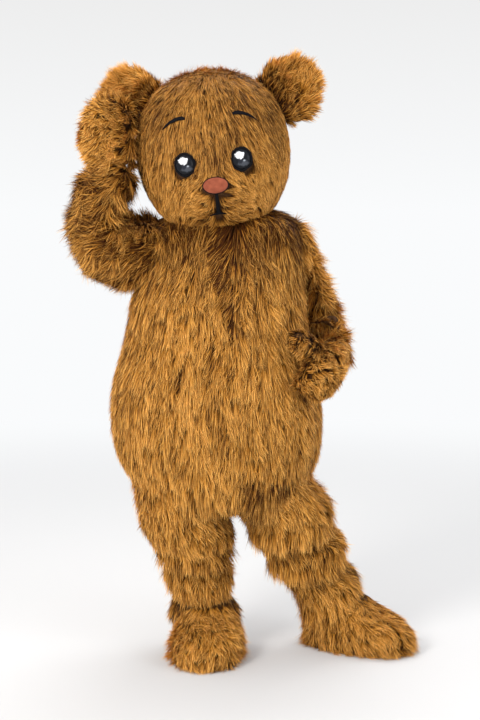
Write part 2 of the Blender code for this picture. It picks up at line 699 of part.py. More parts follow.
def face_strip(name, rows, side_sign, material):
    """A narrow felt strip on the face along its table's line, on its own side."""
    table = np.array(rows)
    line = table[:, :2] * np.array([side_sign, 1.0])
    way = unit(np.gradient(line, axis=0))
    aside = np.stack([-way[:, 1], way[:, 0]], axis=1) * table[:, 2:]
    edges = (
        (line - aside, -STRIP_SUNK),
        (line - aside, STRIP_PROUD),
        (line + aside, STRIP_PROUD),
        (line + aside, -STRIP_SUNK),
    )
    corners = []
    for edge, lift in edges:
        side, up = edge.T
        corners.append(np.stack([side, face_y(side, up) - lift, up], axis=-1))
    return plug_object(name, head_to_part(np.stack(corners, axis=1)), material)


def mouth(felt, head_outside):
    """The felt strip under the nose and the short line it ends in, as one piece."""
    seam = face_strip("mouth", MOUTH_SEAM_ROWS, 1, felt)
    line = face_strip("mouth_line", MOUTH_LINE_ROWS, 1, felt)
    line.hide_render = True
    line.display_type = "WIRE"
    joined = seam.modifiers.new("mouth_line", "BOOLEAN")
    joined.operation = "UNION"
    joined.solver = "EXACT"
    joined.object = line
    cut(seam, head_outside)


def head(face_fur, fur, glossy, felt, nose_cloth, trims):
    """The head's shells, ears, eyes, brows, nose and mouth."""
    whole = head_grid(full_turns(2 * HEAD_HALF_COLUMNS))
    outside = cutter("head_outside", head_to_part(whole + normals_of(whole) * SEAM_GAP))
    for name, first_turn in (("head_back", 0.0), ("head_face", math.pi)):
        shell = head_shell(name, first_turn, face_fur)
        cut(shell, *trims)
    for side_name, side in (("right", -1), ("left", 1)):
        ear_panels(side_name, side, fur, outside)
        place = (EYE_PLACE[0] * side, EYE_PLACE[1])
        cushion("eye_" + side_name, place, EYE_SIZE, EYE_PROFILE, glossy, outside)
        cut(face_strip("brow_" + side_name, BROW_ROWS, side, felt), outside)
    cushion("nose", NOSE_PLACE, NOSE_SIZE, NOSE_PROFILE, nose_cloth, outside)
    mouth(felt, outside)


def build():
    """Make the whole costume."""
    clear_scene()
    fur = finish("long_fur", FUR_COLOUR, 0.75)
    face_fur = finish("clipped_fur", FACE_COLOUR, 0.75)
    rubber = finish("sole_rubber", SOLE_COLOUR, 0.8)
    felt = finish("black_felt", BLACK_FELT, 0.7)
    glossy = finish("eye_gloss", EYE_COLOUR, 0.08)
    nose_cloth = finish("nose_cloth", NOSE_COLOUR, 0.6)
    tape = finish("zip_tape", ZIP_COLOUR, 0.6)

    panels, hollow, torso_outside = torso(fur, tape)
    armholes = sleeves_and_mittens(fur, panels, hollow)
    legs_and_boots(fur, rubber, panels, hollow)
    head(face_fur, fur, glossy, felt, nose_cloth, [torso_outside] + armholes)


build()
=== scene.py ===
"""A bear mascot costume of long-pile fur fabric, worn and hollow, standing on a plain floor."""

import math

import bpy
import numpy as np
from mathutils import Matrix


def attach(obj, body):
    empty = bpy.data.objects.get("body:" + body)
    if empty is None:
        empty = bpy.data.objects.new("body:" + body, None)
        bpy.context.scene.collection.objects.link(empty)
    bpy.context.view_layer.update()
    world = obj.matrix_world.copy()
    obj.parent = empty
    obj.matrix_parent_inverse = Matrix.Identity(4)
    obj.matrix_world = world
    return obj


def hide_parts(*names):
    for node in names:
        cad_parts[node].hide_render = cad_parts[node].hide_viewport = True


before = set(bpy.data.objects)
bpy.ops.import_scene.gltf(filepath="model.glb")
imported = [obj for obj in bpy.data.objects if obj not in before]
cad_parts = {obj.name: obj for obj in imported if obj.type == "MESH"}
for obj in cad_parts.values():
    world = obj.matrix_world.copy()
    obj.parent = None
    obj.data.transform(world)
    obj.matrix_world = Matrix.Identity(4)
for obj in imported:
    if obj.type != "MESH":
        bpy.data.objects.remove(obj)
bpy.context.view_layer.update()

# ---------------------------------------------------------------------------------------------
# Camera, floor and light. A photo studio: a tall softbox in front on the costume's right, a wide
# fill on its left, and a pale floor that runs into a pale wall with no edge between them.
FLOOR_Z = -1.400

camera_data = bpy.data.cameras.new("camera")
camera_data.sensor_fit = "VERTICAL"
camera_data.sensor_height = 36.0
camera_data.lens = 73.7
camera = bpy.data.objects.new("camera", camera_data)
camera.location = (0.037, -4.6, 0.0)
camera.rotation_euler = (math.radians(90.0 - 5.78), 0.0, 0.0)
bpy.context.scene.collection.objects.link(camera)
bpy.context.scene.camera = camera
bpy.context.scene.view_settings.view_transform = "Standard"

world = bpy.data.worlds.new("studio")
world.use_nodes = True
sky = world.node_tree.nodes.new("ShaderNodeTexCoord")
level = world.node_tree.nodes.new("ShaderNodeSeparateXYZ")
wall = world.node_tree.nodes.new("ShaderNodeValToRGB")
wall.color_ramp.elements[0].position, wall.color_ramp.elements[0].color = 0.0, (0.955, 0.965, 0.975, 1.0)
wall.color_ramp.elements[1].position, wall.color_ramp.elements[1].color = 0.14, (0.850, 0.850, 0.850, 1.0)
world.node_tree.links.new(sky.outputs["Generated"], level.inputs["Vector"])
world.node_tree.links.new(level.outputs["Z"], wall.inputs["Fac"])
world.node_tree.links.new(wall.outputs["Color"], world.node_tree.nodes["Background"].inputs["Color"])
world.node_tree.nodes["Background"].inputs["Strength"].default_value = 1.0
bpy.context.scene.world = world

for name, place, aim, size, power, colour in (
    ("softbox_key", (-2.3, -3.3, 1.7), (0.0, 0.0, 0.0), (1.3, 1.9), 150.0, (1.0, 0.97, 0.93)),
    ("softbox_fill", (3.2, -2.6, 0.9), (0.0, 0.0, -0.2), (1.6, 2.0), 36.0, (0.95, 0.97, 1.0)),
    ("softbox_top", (0.4, 1.6, 3.0), (0.0, 0.0, 0.0), (2.4, 1.6), 70.0, (1.0, 1.0, 1.0)),
):
    lamp = bpy.data.lights.new(name, "AREA")
    lamp.shape = "RECTANGLE"
    lamp.size, lamp.size_y = size
    lamp.energy = power
    lamp.color = colour
    box = bpy.data.objects.new(name, lamp)
    box.location = place
    toward = [a - p for a, p in zip(aim, place)]
    reach = math.hypot(toward[0], toward[1])
    box.rotation_euler = (
        math.pi / 2 + math.atan2(toward[2], reach),
        0.0,
        math.atan2(-toward[0], toward[1]),
    )
    bpy.context.scene.collection.objects.link(box)


def new_material(name, roughness, specular=0.5):
    """An empty Principled material; returns it with its nodes, its links and its shader."""
    material = bpy.data.materials.new(name)
    material.use_nodes = True
    nodes, links = material.node_tree.nodes, material.node_tree.links
    shader = nodes["Principled BSDF"]
    shader.inputs["Roughness"].default_value = roughness
    shader.inputs["Specular IOR Level"].default_value = specular
    return material, nodes, links, shader


def colour_ramp(nodes, stops):
    """A colour ramp node through (place, colour) stops."""
    ramp = nodes.new("ShaderNodeValToRGB")
    while len(ramp.color_ramp.elements) < len(stops):
        ramp.color_ramp.elements.new(0.5)
    for element, (place, colour) in zip(ramp.color_ramp.elements, stops):
        element.position = place
        element.color = (*colour, 1.0)
    return ramp


def grid_faces(rings, columns, closed):
    """Quads over a grid of points counted ring by ring, as one array of corners."""
    ring = np.arange(rings - 1)[:, None]
    column = np.arange(columns if closed else columns - 1)[None, :]
    beside = (column + 1) % columns
    quads = (ring * columns + column, ring * columns + beside,
             (ring + 1) * columns + beside, (ring + 1) * columns + column)
    return np.stack(np.broadcast_arrays(*quads), axis=-1).reshape(-1, 4)


def cap_faces(columns, first):
    """Quads across a closed ring whose points are numbered from `first`, side to side."""
    k = np.arange(columns // 2 - 1)[:, None]
    return first + np.hstack([k, k + 1, columns - 2 - k, columns - 1 - k])


def mesh_piece(name, points, faces, material, uv=None):
    """A smooth mesh object from arrays of points, equal faces and, if given, a map per corner."""
    mesh = bpy.data.meshes.new(name)
    mesh.vertices.add(len(points))
    mesh.vertices.foreach_set("co", np.ascontiguousarray(points, dtype=np.float32).ravel())
    corners = faces.shape[1]
    mesh.loops.add(faces.size)
    mesh.loops.foreach_set("vertex_index", np.ascontiguousarray(faces, dtype=np.int32).ravel())
    mesh.polygons.add(len(faces))
    mesh.polygons.foreach_set("loop_start", np.arange(0, faces.size, corners, dtype=np.int32))
    mesh.polygons.foreach_set("use_smooth", np.ones(len(faces), dtype=bool))
    if uv is not None:
        layer = mesh.uv_layers.new(name="OFBake")
        layer.uv.foreach_set("vector", np.ascontiguousarray(uv, dtype=np.float32).ravel())
    mesh.update(calc_edges=True)
    mesh.validate()
    mesh.materials.append(material)
    piece = bpy.data.objects.new(name, mesh)
    bpy.context.scene.collection.objects.link(piece)
    return piece


floor_material, nodes, links, shader = new_material("studio_floor", 0.85, 0.1)
shader.inputs["Base Color"].default_value = (0.70, 0.70, 0.705, 1.0)
place = nodes.new("ShaderNodeTexCoord")
reach = nodes.new("ShaderNodeVectorMath")
reach.operation = "LENGTH"
links.new(place.outputs["Object"], reach.inputs[0])
fade = nodes.new("ShaderNodeMapRange")
fade.interpolation_type = "SMOOTHSTEP"
fade.inputs["From Min"].default_value = 1.6
fade.inputs["From Max"].default_value = 5.5
links.new(reach.outputs["Value"], fade.inputs["Value"])
glow = nodes.new("ShaderNodeEmission")
glow.inputs["Color"].default_value = (0.955, 0.965, 0.975, 1.0)
mixed = nodes.new("ShaderNodeMixShader")
links.new(fade.outputs["Result"], mixed.inputs["Fac"])
links.new(shader.outputs["BSDF"], mixed.inputs[1])
links.new(glow.outputs["Emission"], mixed.inputs[2])
links.new(mixed.outputs["Shader"], nodes["Material Output"].inputs["Surface"])
turn = np.linspace(0, 2 * math.pi, 96, endpoint=False)
radius = np.array([0.05, 2.0, 6.0, 60.0])
disc = np.stack([radius[:, None] * np.cos(turn), radius[:, None] * np.sin(turn)], axis=-1)
disc = np.concatenate([disc, np.full(disc.shape[:2] + (1,), FLOOR_Z - 0.0005)], axis=-1)
floor = mesh_piece("studio_floor", disc.reshape(-1, 3), grid_faces(4, 96, True), floor_material)

# ---------------------------------------------------------------------------------------------
# Torso of the walking suit: four panels of long-pile fur fabric, a woven backing that carries
# golden-brown locks about eight centimetres long. They hang from the shoulders and lie downwards;
# the pile parts along the sewn centre-front seam and is ruffled on the chest.
SEAM_X = 0.010
PILE_DEPTH = 0.013          # the lying pile's thickness over its backing
TORSO_ROWS = (
    # height, right_x, left_x, front_y, back_y
    (0.462, 0.0085, 0.0115, -0.0015, 0.0015),
    (0.467, -0.085, 0.095, -0.100, 0.095),
    (0.488, -0.178, 0.165, -0.172, 0.155),
    (0.526, -0.258, 0.222, -0.222, 0.200),
    (0.585, -0.322, 0.266, -0.254, 0.232),
    (0.665, -0.354, 0.287, -0.272, 0.250),
    (0.760, -0.362, 0.290, -0.280, 0.252),
    (0.860, -0.357, 0.278, -0.276, 0.242),
    (0.960, -0.342, 0.256, -0.262, 0.228),
    (1.060, -0.320, 0.241, -0.240, 0.212),
    (1.160, -0.292, 0.235, -0.214, 0.198),
    (1.250, -0.262, 0.236, -0.188, 0.184),
    (1.320, -0.242, 0.232, -0.162, 0.168),
    (1.368, -0.214, 0.212, -0.136, 0.148),
    (1.396, -0.158, 0.162, -0.108, 0.122),
    (1.416, -0.104, 0.110, -0.086, 0.100),
)


def unit(vectors):
    """Vectors at length one."""
    return vectors / np.maximum(np.linalg.norm(vectors, axis=-1, keepdims=True), 1e-9)


def rows_at(rows, place):
    """A table read at these places: a Catmull-Rom curve through its rows."""
    table = np.array(rows, dtype=float)
    padded = np.vstack([2 * table[0] - table[1], table, 2 * table[-1] - table[-2]])
    first = np.clip(place.astype(int), 0, len(table) - 2)
    s = (place - first)[:, None]
    p0, p1, p2, p3 = (padded[first + k] for k in range(4))
    return 0.5 * (2 * p1 + (p2 - p0) * s + (2 * p0 - 5 * p1 + 4 * p2 - p3) * s ** 2
                  + (3 * p1 - p0 - 3 * p2 + p3) * s ** 3)


def squared_turns(turns, squareness):
    """Cosine and sine of each turn, squared off: sign times size to the power 2 / squareness."""
    cosine, sine = np.cos(turns), np.sin(turns)
    return (np.sign(cosine) * np.abs(cosine) ** (2 / squareness),
            np.sign(sine) * np.abs(sine) ** (2 / squareness))


def rings(centre, across, depth, turns, squareness=2.2):
    """A skin of rings: centre + across * cos + depth * sin, squared off a little."""
    c, s = squared_turns(turns, squareness)
    return centre[:, None] + across[:, None] * c[None, :, None] + depth[:, None] * s[None, :, None]


def outward(skin):
    """Outward directions of a skin whose first column comes again as its last."""
    along = np.gradient(skin, axis=0)
    body = skin[:, :-1]
    around = np.roll(body, -1, axis=1) - np.roll(body, 1, axis=1)
    around = np.concatenate([around, around[:, :1]], axis=1)
    return unit(np.cross(around, along))


def read_grid(grid, s, t):
    """A grid of values read between its points, in steps along its rings and columns."""
    i = np.clip(s.astype(int), 0, grid.shape[0] - 2)
    j = np.clip(t.astype(int), 0, grid.shape[1] - 2)
    a, b = s - i, t - j
    if grid.ndim == 3:
        a, b = a[:, None], b[:, None]
    return ((1 - a) * (1 - b) * grid[i, j] + (1 - a) * b * grid[i, j + 1]
            + a * (1 - b) * grid[i + 1, j] + a * b * grid[i + 1, j + 1])


def waver(points, size, seed):
    """Smooth random values, about -1 to 1: sines of the place along random lines, summed."""
    rng = np.random.default_rng(seed)
    lines = unit(rng.normal(size=(7, 3))) * rng.uniform(0.7, 1.6, (7, 1)) * 2 * math.pi / size
    shifts = rng.uniform(0, 2 * math.pi, 7)
    return np.sin(points @ lines.T + shifts).sum(axis=-1) / 3.2


def turned_about(vectors, axes, angles):
    """Vectors at right angles to their axes, turned about them by these angles."""
    return (vectors * np.cos(angles)[:, None]
            + np.cross(axes, vectors) * np.sin(angles)[:, None])


def fur(name, skin, comb, count, material, seed, length=0.066, width=0.0026, depth=PILE_DEPTH,
        ruffle=0.20, clump=0.62, clump_size=(0.064, 0.0056), stiff=0.45, bend=0.30, tone=0.5,
        keep=None, clear=None, span=None, flick=0.008, hang=0.0):
    """Lying pile: thin pointed locks of two faces, rooted at random places all over a skin.

    A lock's middle line is the skin read from its root along the comb direction, lifted by the
    pile's depth; part of its way it leaves the skin and runs straight, as stiff fur does, and its
    tip bends aside. Where `hang` is set it falls straight down instead. Roots fall into cells,
    and every lock leans towards its cell's middle lock.
    """
    rng = np.random.default_rng(seed)
    rings_count, columns = skin.shape[0] - 1, skin.shape[1] - 1
    normal = outward(skin)
    step_s = np.gradient(skin, axis=0)
    step_t = np.gradient(skin, axis=1)
    diagonal_a = skin[1:, 1:] - skin[:-1, :-1]
    diagonal_b = skin[1:, :-1] - skin[:-1, 1:]
    share = np.linalg.norm(np.cross(diagonal_a, diagonal_b), axis=-1)
    if span is not None:
        middle = np.arange(columns) + 0.5
        share = share * ((middle >= span[0]) & (middle < span[1]))[None, :]
    cell = rng.choice(share.size, count, p=share.ravel() / share.sum())
    s = cell // columns + rng.random(count)
    t = cell % columns + rng.random(count)
    root = read_grid(skin, s, t)
    if keep is not None:
        kept = keep(root)
        s, t, root = s[kept], t[kept], root[kept]
        count = len(root)

    # The cells of the locks, about clump_size along and across the skin.
    side_s = np.linalg.norm(step_s, axis=-1).mean()
    side_t = np.linalg.norm(step_t, axis=-1).mean()
    fine_s, fine_t = side_s / clump_size[0], side_t / clump_size[1]
    bent_s = s * fine_s + 0.6 * waver(root, 0.06, seed + 1)
    bent_t = t * fine_t + 0.6 * waver(root, 0.05, seed + 2)
    cell_s = np.floor(bent_s).astype(int)
    cell_t = np.floor(bent_t + 0.37 * cell_s).astype(int)
    drawn = rng.random((4096, 6))[(cell_s * 7919 + cell_t * 2731) % 4096]
    guide_s = np.clip(s + (cell_s + 0.25 + 0.5 * drawn[:, 0] - bent_s) / fine_s, 0, rings_count)
    guide_t = t + (cell_t - 0.37 * cell_s + 0.25 + 0.5 * drawn[:, 1] - bent_t) / fine_t

    def value(of, at_s, at_t):
        """A grid or a plain number at these places, wrapped round the skin."""
        if np.ndim(of) == 0:
            return np.full(len(at_s), float(of))
        return read_grid(of, at_s, at_t % columns)

    def lying(at_s, at_t, angles, long):
        """Each lock's reach in grid steps: its combed direction split along the skin's steps."""
        out = unit(value(normal, at_s, at_t))
        way = value(comb, at_s, at_t)
        way = unit(way - (way * out).sum(axis=-1, keepdims=True) * out)
        way = turned_about(way, out, angles) * long[:, None]
        a, b = value(step_s, at_s, at_t), value(step_t, at_s, at_t)
        aa, ab, bb = (a * a).sum(-1), (a * b).sum(-1), (b * b).sum(-1)
        wa, wb = (way * a).sum(-1), (way * b).sum(-1)
        det = np.maximum(aa * bb - ab * ab, 0.05 * aa * bb + 1e-12)
        return (wa * bb - wb * ab) / det, (wb * aa - wa * ab) / det, out

    ruffled = value(ruffle, s, t)
    swirl = ruffled * (0.7 * waver(root, 0.30, seed + 3) + 0.9 * waver(root, 0.09, seed + 4))
    cell_angle = swirl + ruffled * 1.2 * (drawn[:, 2] - 0.5)
    own_angle = cell_angle + 0.30 * (rng.random(count) - 0.5)
    long = value(length, s, t) * (0.70 + 0.30 * drawn[:, 3] + 0.35 * rng.random(count))
    turn = bend * (1.4 * (drawn[:, 5] - 0.5) + 0.8 * (rng.random(count) - 0.5))
    own = lying(s, t, own_angle, long)
    curled = lying(s, t, own_angle + turn, long)
    led = lying(guide_s, guide_t, cell_angle + turn, long)
    out = own[2]
    rise = value(depth, s, t) * (0.50 + 0.50 * drawn[:, 4] + 0.35 * rng.random(count))
    tip_lift = value(flick, s, t) * (0.9 * rng.random(count) ** 3 + 1.1 * drawn[:, 5] ** 3 - 0.2)
    rigid = value(stiff, s, t)[:, None]
    fall = value(hang, s, t)[:, None]
    middles = [root]
    for level in (0.45, 1.0):
        pull = clump * level
        at_s = s + level * (own[0] + level * (curled[0] - own[0]))
        at_t = t + level * (own[1] + level * (curled[1] - own[1]))
        at_s = at_s + pull * (guide_s + level * led[0] - at_s)
        at_t = at_t + pull * (guide_t + level * led[1] - at_t)
        height = rise * (1 - (1 - level) ** 2.2) + tip_lift * level ** 2
        on_s = np.clip(at_s, -1.5, rings_count + 1.5)
        lifted = read_grid(skin, on_s, at_t % columns)
        lifted = lifted + unit(read_grid(normal, on_s, at_t % columns)) * height[:, None]
        a, b = value(step_s, s, t), value(step_t, s, t)
        straight = root + a * (at_s - s)[:, None] + b * (at_t - t)[:, None] + out * height[:, None]
        combed = lifted + (straight - lifted) * rigid
        fallen = root + out * height[:, None] - np.array([0.0, 0.0, 1.0]) * (level * long)[:, None]
        middles.append(combed + (fallen - combed) * fall)
    middles = np.stack(middles, axis=1)
    away = middles[:, 1:] - root[:, None]
    most = 1.05 * long[:, None] * np.array([0.45, 1.0]) + rise[:, None]
    reach = np.maximum(np.linalg.norm(away, axis=-1), 1e-6)
    middles[:, 1:] = root[:, None] + away * np.minimum(1, most / reach)[..., None]
    tone_here = value(tone, s, t)
    if clear is not None:
        for _ in range(5):
            over = ~clear(middles[:, 1:].reshape(-1, 3)).reshape(-1, 2).all(axis=1)
            middles[over, 1:] = root[over, None] + 0.70 * (middles[over, 1:] - root[over, None])
        kept = clear(middles.reshape(-1, 3)).reshape(-1, 3).all(axis=1)
        middles, out, drawn, root, tone_here = (
            part[kept] for part in (middles, out, drawn, root, tone_here))
        count = len(root)

    run = unit(middles[:, 2] - middles[:, 0])
    aside = unit(np.cross(out, run))
    roll = rng.uniform(-0.7, 0.7, count)
    aside = aside * np.cos(roll)[:, None] + np.cross(run, aside) * np.sin(roll)[:, None]
    half = 0.5 * width * (0.6 + 0.8 * rng.random(count))[:, None] * aside
    points = np.stack([middles[:, 0], middles[:, 1] - half, middles[:, 1] + half, middles[:, 2]],
                      axis=1)
    points[..., 2] = np.maximum(points[..., 2], FLOOR_Z + 0.0005)
    corners = np.array([[0, 1, 2], [1, 3, 2]])
    faces = (np.arange(count)[:, None, None] * 4 + corners).reshape(-1, 3)
    # Each lock's tone: the given tone with smooth, cell and lock-to-lock variation; one lock in six is made
    # much darker, as painted shade between the clumps.
    shade = (tone_here + 0.03 + 0.09 * waver(root, 0.20, seed + 5) + 0.42 * (drawn[:, 5] - 0.5)
             + 1.00 * (rng.random(count) - 0.5) - 0.60 * (rng.random(count) < 0.17))
    u = np.clip(shade, 0.0, 0.97)
    across = np.stack([u + 0.015, u, u + 0.03, u + 0.015], axis=1)
    up = np.broadcast_to(np.array([0.0, 0.45, 0.45, 1.0]), across.shape)
    uv = np.stack([across, up], axis=-1)[:, corners].reshape(-1, 2)
    return mesh_piece(name, points.reshape(-1, 3), faces, material, uv)


def fur_material(name, stops, dark, light):
    """Pile: a ramp from root to tip, times a ramp of tones from lock to lock, with fine strands. The ramp's
    near-black root end is partly a darker root colour and partly painted shade deep in the pile.
    """
    material, nodes, links, shader = new_material(name, 0.55, 0.09)
    shader.inputs["Sheen Weight"].default_value = 0.02
    shader.inputs["Sheen Roughness"].default_value = 0.4
    own = nodes.new("ShaderNodeUVMap")
    own.uv_map = "OFBake"
    split = nodes.new("ShaderNodeSeparateXYZ")
    links.new(own.outputs["UV"], split.inputs["Vector"])
    strands = nodes.new("ShaderNodeMapping")
    strands.inputs["Scale"].default_value = (160.0, 2.5, 1.0)
    links.new(own.outputs["UV"], strands.inputs["Vector"])
    noise = nodes.new("ShaderNodeTexNoise")
    noise.noise_dimensions = "2D"
    noise.inputs["Scale"].default_value = 1.0
    noise.inputs["Detail"].default_value = 2.0
    links.new(strands.outputs["Vector"], noise.inputs["Vector"])
    along = colour_ramp(nodes, stops)
    links.new(split.outputs["Y"], along.inputs["Fac"])
    tones = colour_ramp(nodes, ((0.0, dark), (0.5, (1.0, 1.0, 1.0)), (1.0, light)))
    links.new(split.outputs["X"], tones.inputs["Fac"])
    fine = colour_ramp(nodes, ((0.30, (0.66, 0.62, 0.58)), (0.70, (1.22, 1.20, 1.16))))
    links.new(noise.outputs["Fac"], fine.inputs["Fac"])
    colour = along.outputs["Color"]
    for factor in (tones, fine):
        product = nodes.new("ShaderNodeMix")
        product.data_type, product.blend_type = "RGBA", "MULTIPLY"
        product.inputs["Factor"].default_value = 1.0
        links.new(colour, product.inputs["A"])
        links.new(factor.outputs["Color"], product.inputs["B"])
        colour = product.outputs["Result"]
    links.new(colour, shader.inputs["Base Color"])
    return material


# The root end of the ramp is near black: partly a darker root colour, partly painted shade deep in the
# pile.
long_fur = fur_material(
    "long_fur",
    ((0.0, (0.006, 0.002, 0.0004)), (0.25, (0.065, 0.021, 0.002)), (0.50, (0.36, 0.140, 0.015)),
     (0.80, (0.66, 0.305, 0.058)), (1.0, (0.80, 0.435, 0.115))),
    (0.09, 0.050, 0.020), (1.42, 1.58, 1.85))


def speckled(name, roughness, specular, scale, stops, detail=2.0):
    """A material whose colour is a ramp over fine noise in the object's own coordinates."""
    material, nodes, links, shader = new_material(name, roughness, specular)
    place = nodes.new("ShaderNodeTexCoord")
    noise = nodes.new("ShaderNodeTexNoise")
    noise.inputs["Scale"].default_value = scale
    noise.inputs["Detail"].default_value = detail
    links.new(place.outputs["Object"], noise.inputs["Vector"])
    shades = colour_ramp(nodes, stops)
    links.new(noise.outputs["Fac"], shades.inputs["Fac"])
    links.new(shades.outputs["Color"], shader.inputs["Base Color"])
    return material, noise


def roughen(material, noise, distance, strength=1.0):
    """Bump from a noise's value, as deep as `distance`."""
    nodes, links = material.node_tree.nodes, material.node_tree.links
    bump = nodes.new("ShaderNodeBump")
    bump.inputs["Distance"].default_value = distance
    bump.inputs["Strength"].default_value = strength
    links.new(noise.outputs["Fac"], bump.inputs["Height"])
    links.new(bump.outputs["Normal"], nodes["Principled BSDF"].inputs["Normal"])


backing, weave = speckled("fur_backing", 0.9, 0.2, 260.0,
                          ((0.3, (0.042, 0.018, 0.006)), (0.7, (0.091, 0.039, 0.013))), 3.0)
roughen(backing, weave, 0.001, 0.6)


def cloth_piece(name, skin, node, flat, area, held, rests_on, slot_name, material, pile=(),
                cap_start=False, cap_end=False):
    """A backing cloth on a skin grid, given its wall by Solidify, standing for its solid."""
    rings_count, columns = skin.shape[:2]
    closed = bool(np.allclose(skin[:, 0], skin[:, -1]))
    points = skin[:, :-1] if closed else skin
    wide = columns - 1 if closed else columns
    faces = grid_faces(rings_count, wide, closed)
    if cap_start:
        faces = np.vstack([faces, cap_faces(wide, 0)[:, ::-1]])
    if cap_end:
        faces = np.vstack([faces, cap_faces(wide, (rings_count - 1) * wide)])
    piece = mesh_piece(name, points.reshape(-1, 3), faces, material)
    wall = piece.modifiers.new("cloth", "SOLIDIFY")
    wall.thickness = 0.0018
    wall.offset = -1.0
    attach(piece, "root")
    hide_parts(node)
    for locks in pile:
        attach(locks, "root")
    return piece


def torso_skin(rings_count, columns):
    """Level rings with a right and a left half width, ring by ring from the crotch to the neck."""
    place = np.linspace(0, len(TORSO_ROWS) - 1, rings_count)
    height, right_x, left_x, front_y, back_y = rows_at(TORSO_ROWS, place).T
    turns = np.linspace(0, 2 * math.pi, columns + 1)
    zero = 0 * height
    centre = np.stack([zero + SEAM_X, (front_y + back_y) / 2, height + FLOOR_Z], axis=1)
    left = rings(centre, np.stack([left_x - SEAM_X, zero, zero], axis=1),
                 np.stack([zero, (back_y - front_y) / 2, zero], axis=1), turns)
    right = rings(centre, np.stack([SEAM_X - right_x, zero, zero], axis=1),
                  np.stack([zero, (back_y - front_y) / 2, zero], axis=1), turns)
    return np.where(np.cos(turns)[None, :, None] > 0, left, right)


def tube_test(rows, grow=0.76):
    """A test for points inside a tube: near one of its sections and within its oval."""
    table = rows_at(rows, np.linspace(0, len(rows) - 1, 48))
    edge_a, edge_b, half_depth = table[:, 0:3], table[:, 3:6], table[:, 6:7]
    centre = (edge_a + edge_b) / 2 + np.array([0.0, 0.0, FLOOR_Z])
    across = (edge_b - edge_a) / 2
    along = unit(np.cross(across, np.cross(np.gradient(centre, axis=0), across)))
    deep = unit(np.cross(np.gradient(centre, axis=0), across)) * half_depth
    reach = np.linalg.norm(np.gradient(centre, axis=0), axis=-1)

    def inside(points):
        """True for points whose place in a section's own axes lies within its oval."""
        way = points[:, None] - centre[None]
        u = (way * across).sum(-1) / (across ** 2).sum(-1)
        v = (way * deep).sum(-1) / (deep ** 2).sum(-1)
        w = np.abs((way * along).sum(-1))
        return ((u ** 2 + v ** 2 < grow ** 2) & (w < 1.2 * reach)).any(axis=1)

    return inside


SLEEVE_RIGHT_ROWS = (
    # a_x, a_y, a_z, b_x, b_y, b_z, half_depth: underarm and elbow side, then crease side
    (-0.190, 0.005, 1.170, -0.168, 0.005, 1.368, 0.105),
    (-0.252, -0.005, 1.152, -0.222, -0.005, 1.388, 0.118),
    (-0.312, -0.018, 1.146, -0.262, -0.018, 1.394, 0.124),
    (-0.378, -0.032, 1.166, -0.288, -0.032, 1.396, 0.123),
    (-0.448, -0.046, 1.215, -0.301, -0.046, 1.400, 0.118),
    (-0.488, -0.060, 1.298, -0.305, -0.060, 1.407, 0.112),
    (-0.494, -0.074, 1.372, -0.298, -0.074, 1.424, 0.108),
    (-0.480, -0.086, 1.438, -0.270, -0.086, 1.455, 0.106),
    (-0.462, -0.098, 1.500, -0.264, -0.098, 1.500, 0.098),
    (-0.424, -0.108, 1.550, -0.280, -0.108, 1.545, 0.080),
)
SLEEVE_LEFT_ROWS = (
    # outer side, then the side towards the body
    (0.168, 0.015, 1.375, 0.176, 0.015, 1.200, 0.088),
    (0.226, 0.022, 1.374, 0.214, 0.030, 1.190, 0.096),
    (0.274, 0.036, 1.290, 0.232, 0.056, 1.158, 0.092),
    (0.318, 0.056, 1.195, 0.236, 0.084, 1.112, 0.088),
    (0.352, 0.080, 1.105, 0.238, 0.106, 1.062, 0.084),
    (0.376, 0.092, 1.032, 0.246, 0.108, 1.010, 0.081),
    (0.388, 0.064, 0.976, 0.260, 0.072, 0.974, 0.078),
    (0.390, 0.010, 0.952, 0.266, 0.000, 0.962, 0.073),
    (0.381, -0.046, 0.946, 0.262, -0.080, 0.966, 0.068),
    (0.366, -0.098, 0.937, 0.252, -0.154, 0.970, 0.060),
)
LEG_RIGHT_ROWS = (
    # the side towards -X, then the side towards +X, from hem to hip
    (-0.178, 0.030, 0.142, 0.024, 0.030, 0.140, 0.104),
    (-0.186, 0.026, 0.176, 0.022, 0.026, 0.172, 0.110),
    (-0.196, 0.020, 0.222, 0.010, 0.020, 0.216, 0.106),
    (-0.206, 0.016, 0.262, 0.014, 0.016, 0.258, 0.112),
    (-0.200, 0.010, 0.308, -0.006, 0.010, 0.304, 0.104),
    (-0.206, 0.002, 0.334, -0.004, 0.002, 0.332, 0.112),
    (-0.238, -0.006, 0.348, 0.022, -0.006, 0.342, 0.146),
    (-0.264, -0.010, 0.388, 0.020, -0.010, 0.378, 0.164),
    (-0.278, -0.014, 0.440, 0.004, -0.014, 0.430, 0.176),
    (-0.288, -0.014, 0.510, -0.014, -0.014, 0.500, 0.188),
    (-0.298, -0.010, 0.580, -0.024, -0.010, 0.570, 0.188),
    (-0.298, -0.006, 0.650, -0.034, -0.006, 0.640, 0.180),
)
LEG_LEFT_ROWS = (
    # the side towards -X, then the side towards +X, from hem to hip
    (0.244, 0.082, 0.128, 0.416, 0.076, 0.196, 0.100),
    (0.222, 0.074, 0.168, 0.408, 0.068, 0.226, 0.106),
    (0.190, 0.062, 0.216, 0.396, 0.056, 0.258, 0.106),
    (0.160, 0.052, 0.262, 0.362, 0.046, 0.286, 0.104),
    (0.124, 0.040, 0.302, 0.378, 0.034, 0.338, 0.120),
    (0.098, 0.028, 0.348, 0.358, 0.024, 0.376, 0.124),
    (0.084, 0.020, 0.374, 0.320, 0.016, 0.402, 0.122),
    (0.062, 0.008, 0.408, 0.336, 0.004, 0.450, 0.142),
    (0.042, -0.004, 0.456, 0.318, -0.006, 0.498, 0.154),
    (0.036, -0.010, 0.510, 0.268, -0.010, 0.550, 0.160),
    (0.042, -0.010, 0.570, 0.240, -0.010, 0.604, 0.156),
    (0.050, -0.006, 0.630, 0.216, -0.006, 0.655, 0.148),
)

